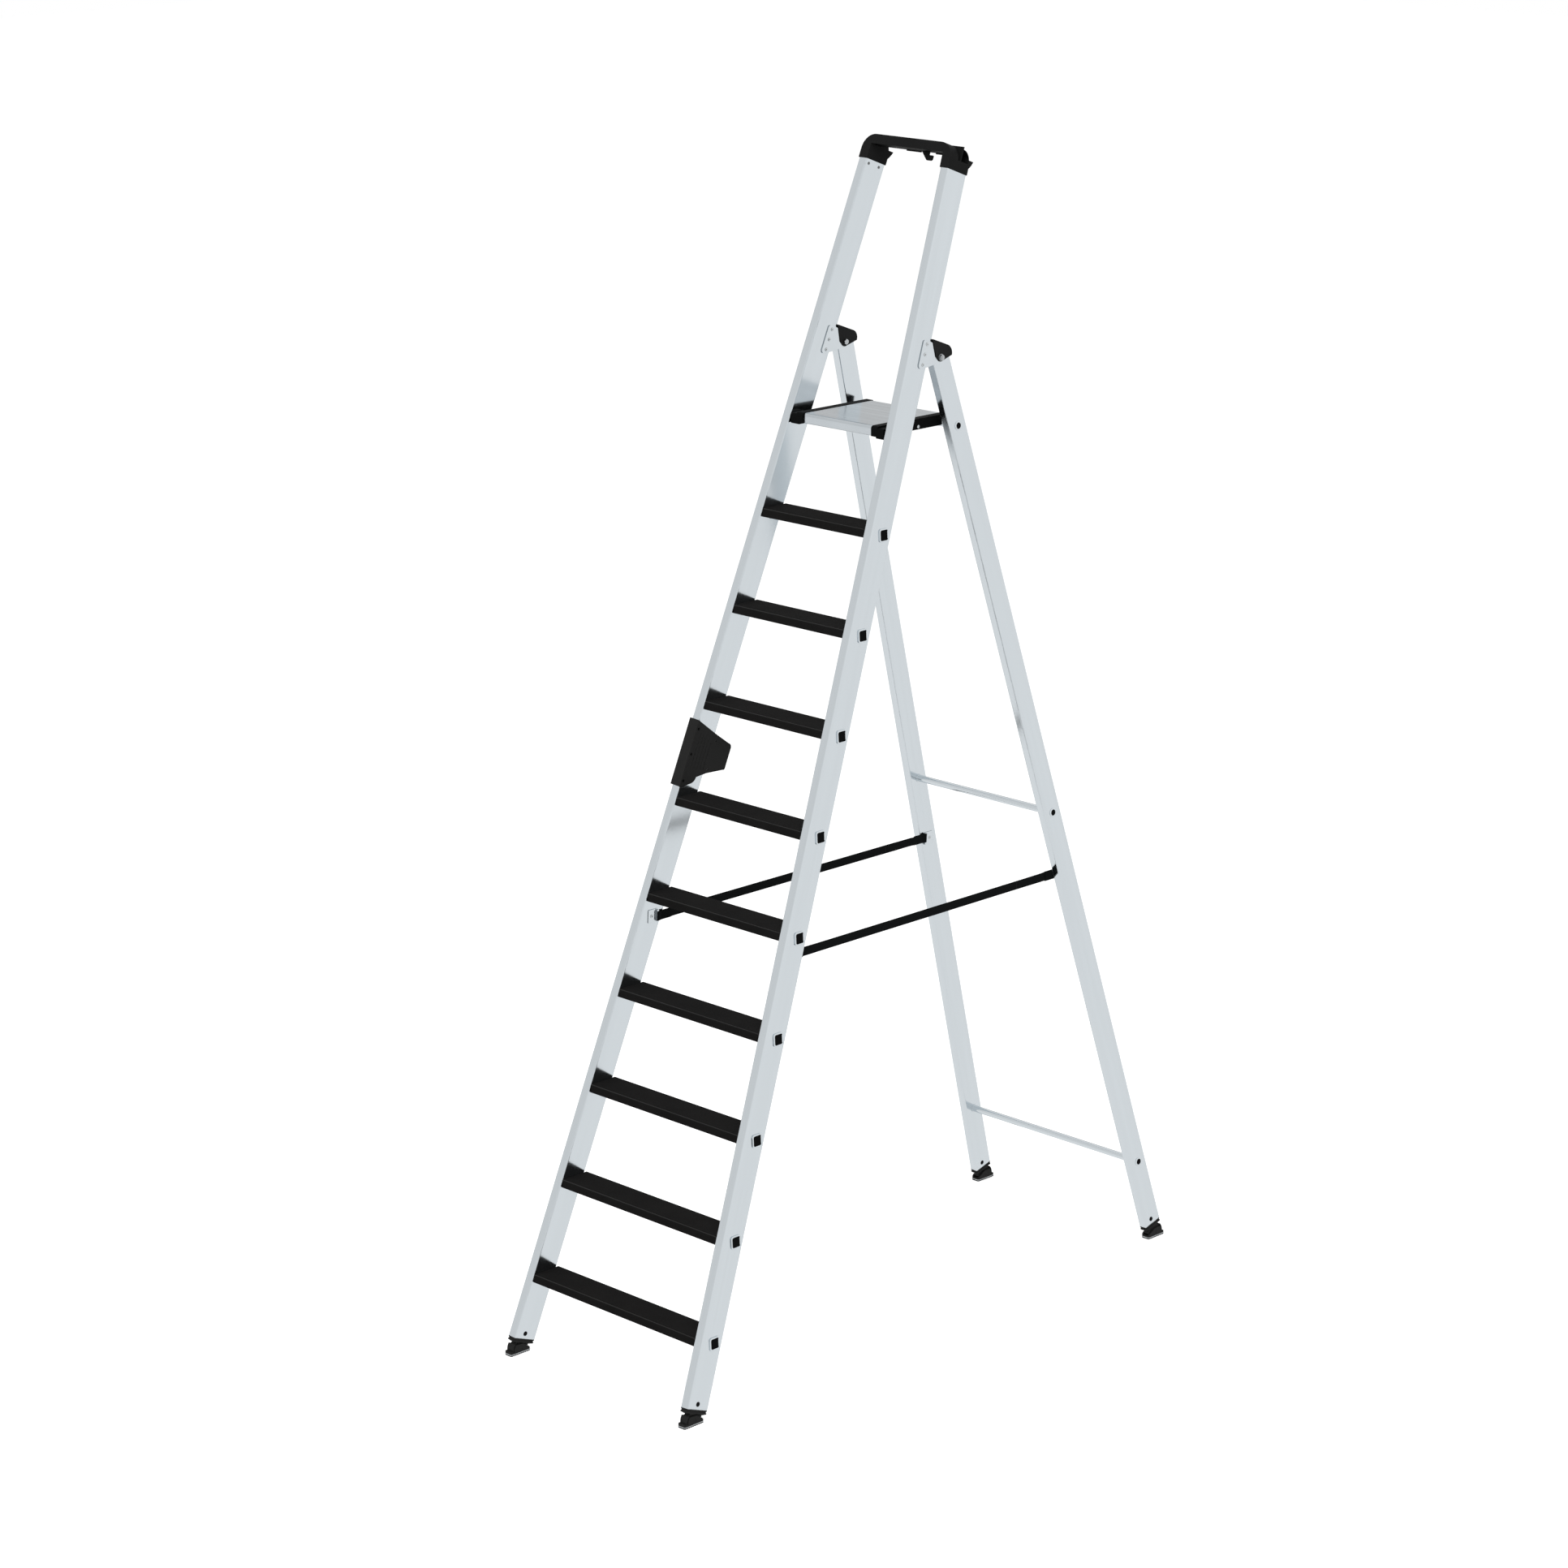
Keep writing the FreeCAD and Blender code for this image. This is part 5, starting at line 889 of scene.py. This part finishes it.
def stile_axes(end_name):
    """A frame's directions in the side plane: up along its stiles, and across them to the back."""
    lean = LEANS[end_name]
    return Vector((0, math.sin(lean), math.cos(lean))), Vector((0, math.cos(lean), -math.sin(lean)))


def foot_pin(side_name, end_name):
    """The middle of a foot's pin."""
    low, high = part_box(f"{side_name}_{end_name}_sole")
    y = low[1] + FOOT_TOE if end_name == "front" else high[1] - FOOT_TOE
    return Vector(((low[0] + high[0]) / 2, y, FOOT_PIN_HIGH))


def swept(centre, outline, levels):
    """Rings of an outline along X: levels are (x, size)."""
    return [[centre + Vector((x, 0, 0)) + point * size for point in outline] for x, size in levels]


def shoulder(pin, up, top):
    """The wider toe side of a front swivel, between its plug and the shoe's curved front."""
    points = [
        Vector((0, -math.cos(angle), math.sin(angle))) * SHOULDER_RADIUS for angle in SHOULDER_ANGLES
    ]
    points += [points[-1] * (top / points[-1].dot(up)), up * top]
    return tube_of(swept(pin, points, ((-SHOULDER_HALF, 1.0), (SHOULDER_HALF, 1.0))))


def swivel(side_name, end_name, material):
    """The round knuckle under a foot plug, which turns between the shoe's cheeks."""
    pin = foot_pin(side_name, end_name)
    up, across = stile_axes(end_name)
    top = SWIVEL_TOP[end_name]
    reach = math.sqrt(SWIVEL_RADIUS ** 2 - top ** 2)
    first = math.asin(SWIVEL_LOW / SWIVEL_RADIUS)
    angles = [first + (math.pi - 2 * first) * i / SWIVEL_PARTS for i in range(SWIVEL_PARTS + 1)]
    arc = [Vector((0, math.cos(angle), math.sin(angle))) * SWIVEL_RADIUS for angle in angles]
    kept = [point for point in arc if point.dot(up) < top]
    points = [point for point in kept if point.dot(across) > 0]
    points += [up * top + across * reach, up * top - across * reach]
    points += [point for point in kept if point.dot(across) < 0]
    eased = 1 - SWIVEL_EASE / SWIVEL_RADIUS
    inner = SWIVEL_HALF - SWIVEL_EASE
    levels = ((-SWIVEL_HALF, eased), (-inner, 1.0), (inner, 1.0), (SWIVEL_HALF, eased))
    bodies = [tube_of(swept(pin, points, levels))]
    if end_name == "front":
        bodies.append(shoulder(pin, up, top))
    made = mesh_object(f"{side_name}_{end_name}_foot_swivel", *joined(bodies), material, smooth=False)
    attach(made, f"{end_name}_frame")


def button(centre, normal, one, other):
    """A shallow domed button on a face."""
    levels = [(BUTTON_RADIUS, -BUTTON_SUNK)]
    levels += [(BUTTON_RADIUS * radius, BUTTON_PROUD * proud) for radius, proud in BUTTON_PROFILE]
    return tube_of([
        circle(centre + normal * proud, one, other, radius, BUTTON_CORNERS) for radius, proud in levels
    ])


def snap_buttons(side_name, end_name, material):
    """The spring buttons that hold a foot plug in its stile, on the stile's two sides."""
    side = SIDES[side_name]
    up, across = stile_axes(end_name)
    low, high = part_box(f"{side_name}_{end_name}_stile")
    outer = max(abs(low[0]), abs(high[0]))
    inward = Vector((-side * math.sin(TAPER), 0, 0))
    along = (up * math.cos(TAPER) + inward).normalized()
    out = Vector((side * math.cos(TAPER), 0, 0)) + up * math.sin(TAPER)
    pin = foot_pin(side_name, end_name)
    place = pin + up * (STILE_END[end_name] + BUTTON_UP) - across * BUTTON_AHEAD
    place.x = side * (outer - math.sin(TAPER) * BUTTON_UP)
    bodies = [
        button(place, out, across, along),
        button(place - out * STILE_WIDTH[end_name], -out, across, along),
    ]
    made = mesh_object(f"{side_name}_{end_name}_snap_buttons", *joined(bodies), material)
    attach(made, f"{end_name}_frame")


def feet():
    """The swivel and the snap buttons of each foot."""
    black = plastic("button_black", (0.0022, 0.0023, 0.0023), rough=0.5, level=0.05, edge=0.0003)
    for side_name in SIDES:
        for end_name in ("front", "rear"):
            swivel(side_name, end_name, foot_plastic())
            snap_buttons(side_name, end_name, black)


# ---------------------------------------------------------------- end plugs: painted shade in the tube mouths

def mouth_shade_body(centre, side, outline, up, flare):
    """A near-black plug in a tube's belled end, painted shade for the hollow inside: its crowned face
    follows the stile's taper.
    """
    reach = max(point.length for point in outline)
    profile = [(PLUG_LONG, 0.0)]
    profile += [(depth * flare, grow * flare) for depth, grow in PLUG_BELL]
    profile += [(-PLUG_CROWN * rise, -PLUG_EDGE * inset) for rise, inset in PLUG_FACE]
    rings = []
    for depth, grow in profile:
        size = 1 + grow / reach
        ring = []
        for point in outline:
            place = point * size
            x = side * (centre.x - depth - TAPER_SLOPE * place.dot(up))
            ring.append(Vector((x, centre.y + place.y, centre.z + place.z)))
        rings.append(ring)
    return tube_of(rings)


def tube_mouth_shades(name, centre, outline, flare, end_name, material):
    """The pair of plugs in one tube's ends, painted shade in its mouths."""
    up, _ = stile_axes(end_name)
    bodies = [mouth_shade_body(centre, side, outline, up, flare) for side in SIDES.values()]
    made = mesh_object(f"{name}_tube_mouth_shades", *joined(bodies), material, smooth=False)
    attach(made, f"{end_name}_frame")


def square_outline():
    """A rounded square about (0, 0) in the side plane."""
    half = STEP_BORE / 2
    points = rounded_rectangle((-half, -half), (half, half), STEP_BORE_CORNER, STEP_BORE_PARTS)
    return [Vector((0, y, z)) for y, z in points]


def round_outline():
    """A circle about (0, 0) in the side plane."""
    return circle(Vector((0, 0, 0)), Vector((0, 1, 0)), Vector((0, 0, 1)), TUBE_BORE, TUBE_CORNERS)


def all_tube_mouth_shades():
    """Near-black plugs in the ends of every step and cross tube, painted shade for their hollow
    insides.
    """
    # Near-black plugs stand in for the shade inside the open tube ends.
    black = plastic("tube_mouth_shade", (0.0022, 0.0024, 0.0025), rough=0.6, level=0.03, edge=0.0004)
    for index in range(1, STEPS + 1):
        low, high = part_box(f"tread_{index}")
        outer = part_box(f"step_{index}")[1][0] - TAPER_SLOPE * STEP_RIM_REACH
        centre = Vector((
            outer - STEP_PLUG_RECESS, low[1] + STEP_TREAD_FRONT, high[2] - STEP_TREAD_DOWN,
        ))
        tube_mouth_shades(f"step_{index}", centre, square_outline(), STEP_FLARE, "front", black)
    for name in ("upper_rear_tube", "lower_rear_tube", "platform_support_tube"):
        low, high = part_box(name)
        outer = high[0] - TAPER_SLOPE * TUBE_RIM_REACH
        centre = Vector((outer - TUBE_PLUG_RECESS, (low[1] + high[1]) / 2, (low[2] + high[2]) / 2))
        tube_mouth_shades(name, centre, round_outline(), TUBE_FLARE, "rear", black)


# ---------------------------------------------------------------- the scene

bpy.context.scene.view_settings.view_transform = "Standard"
camera()
world()
floor()
lights()
finishes()
straps()
tread_beads()
carriers()
feet()
all_tube_mouth_shades()
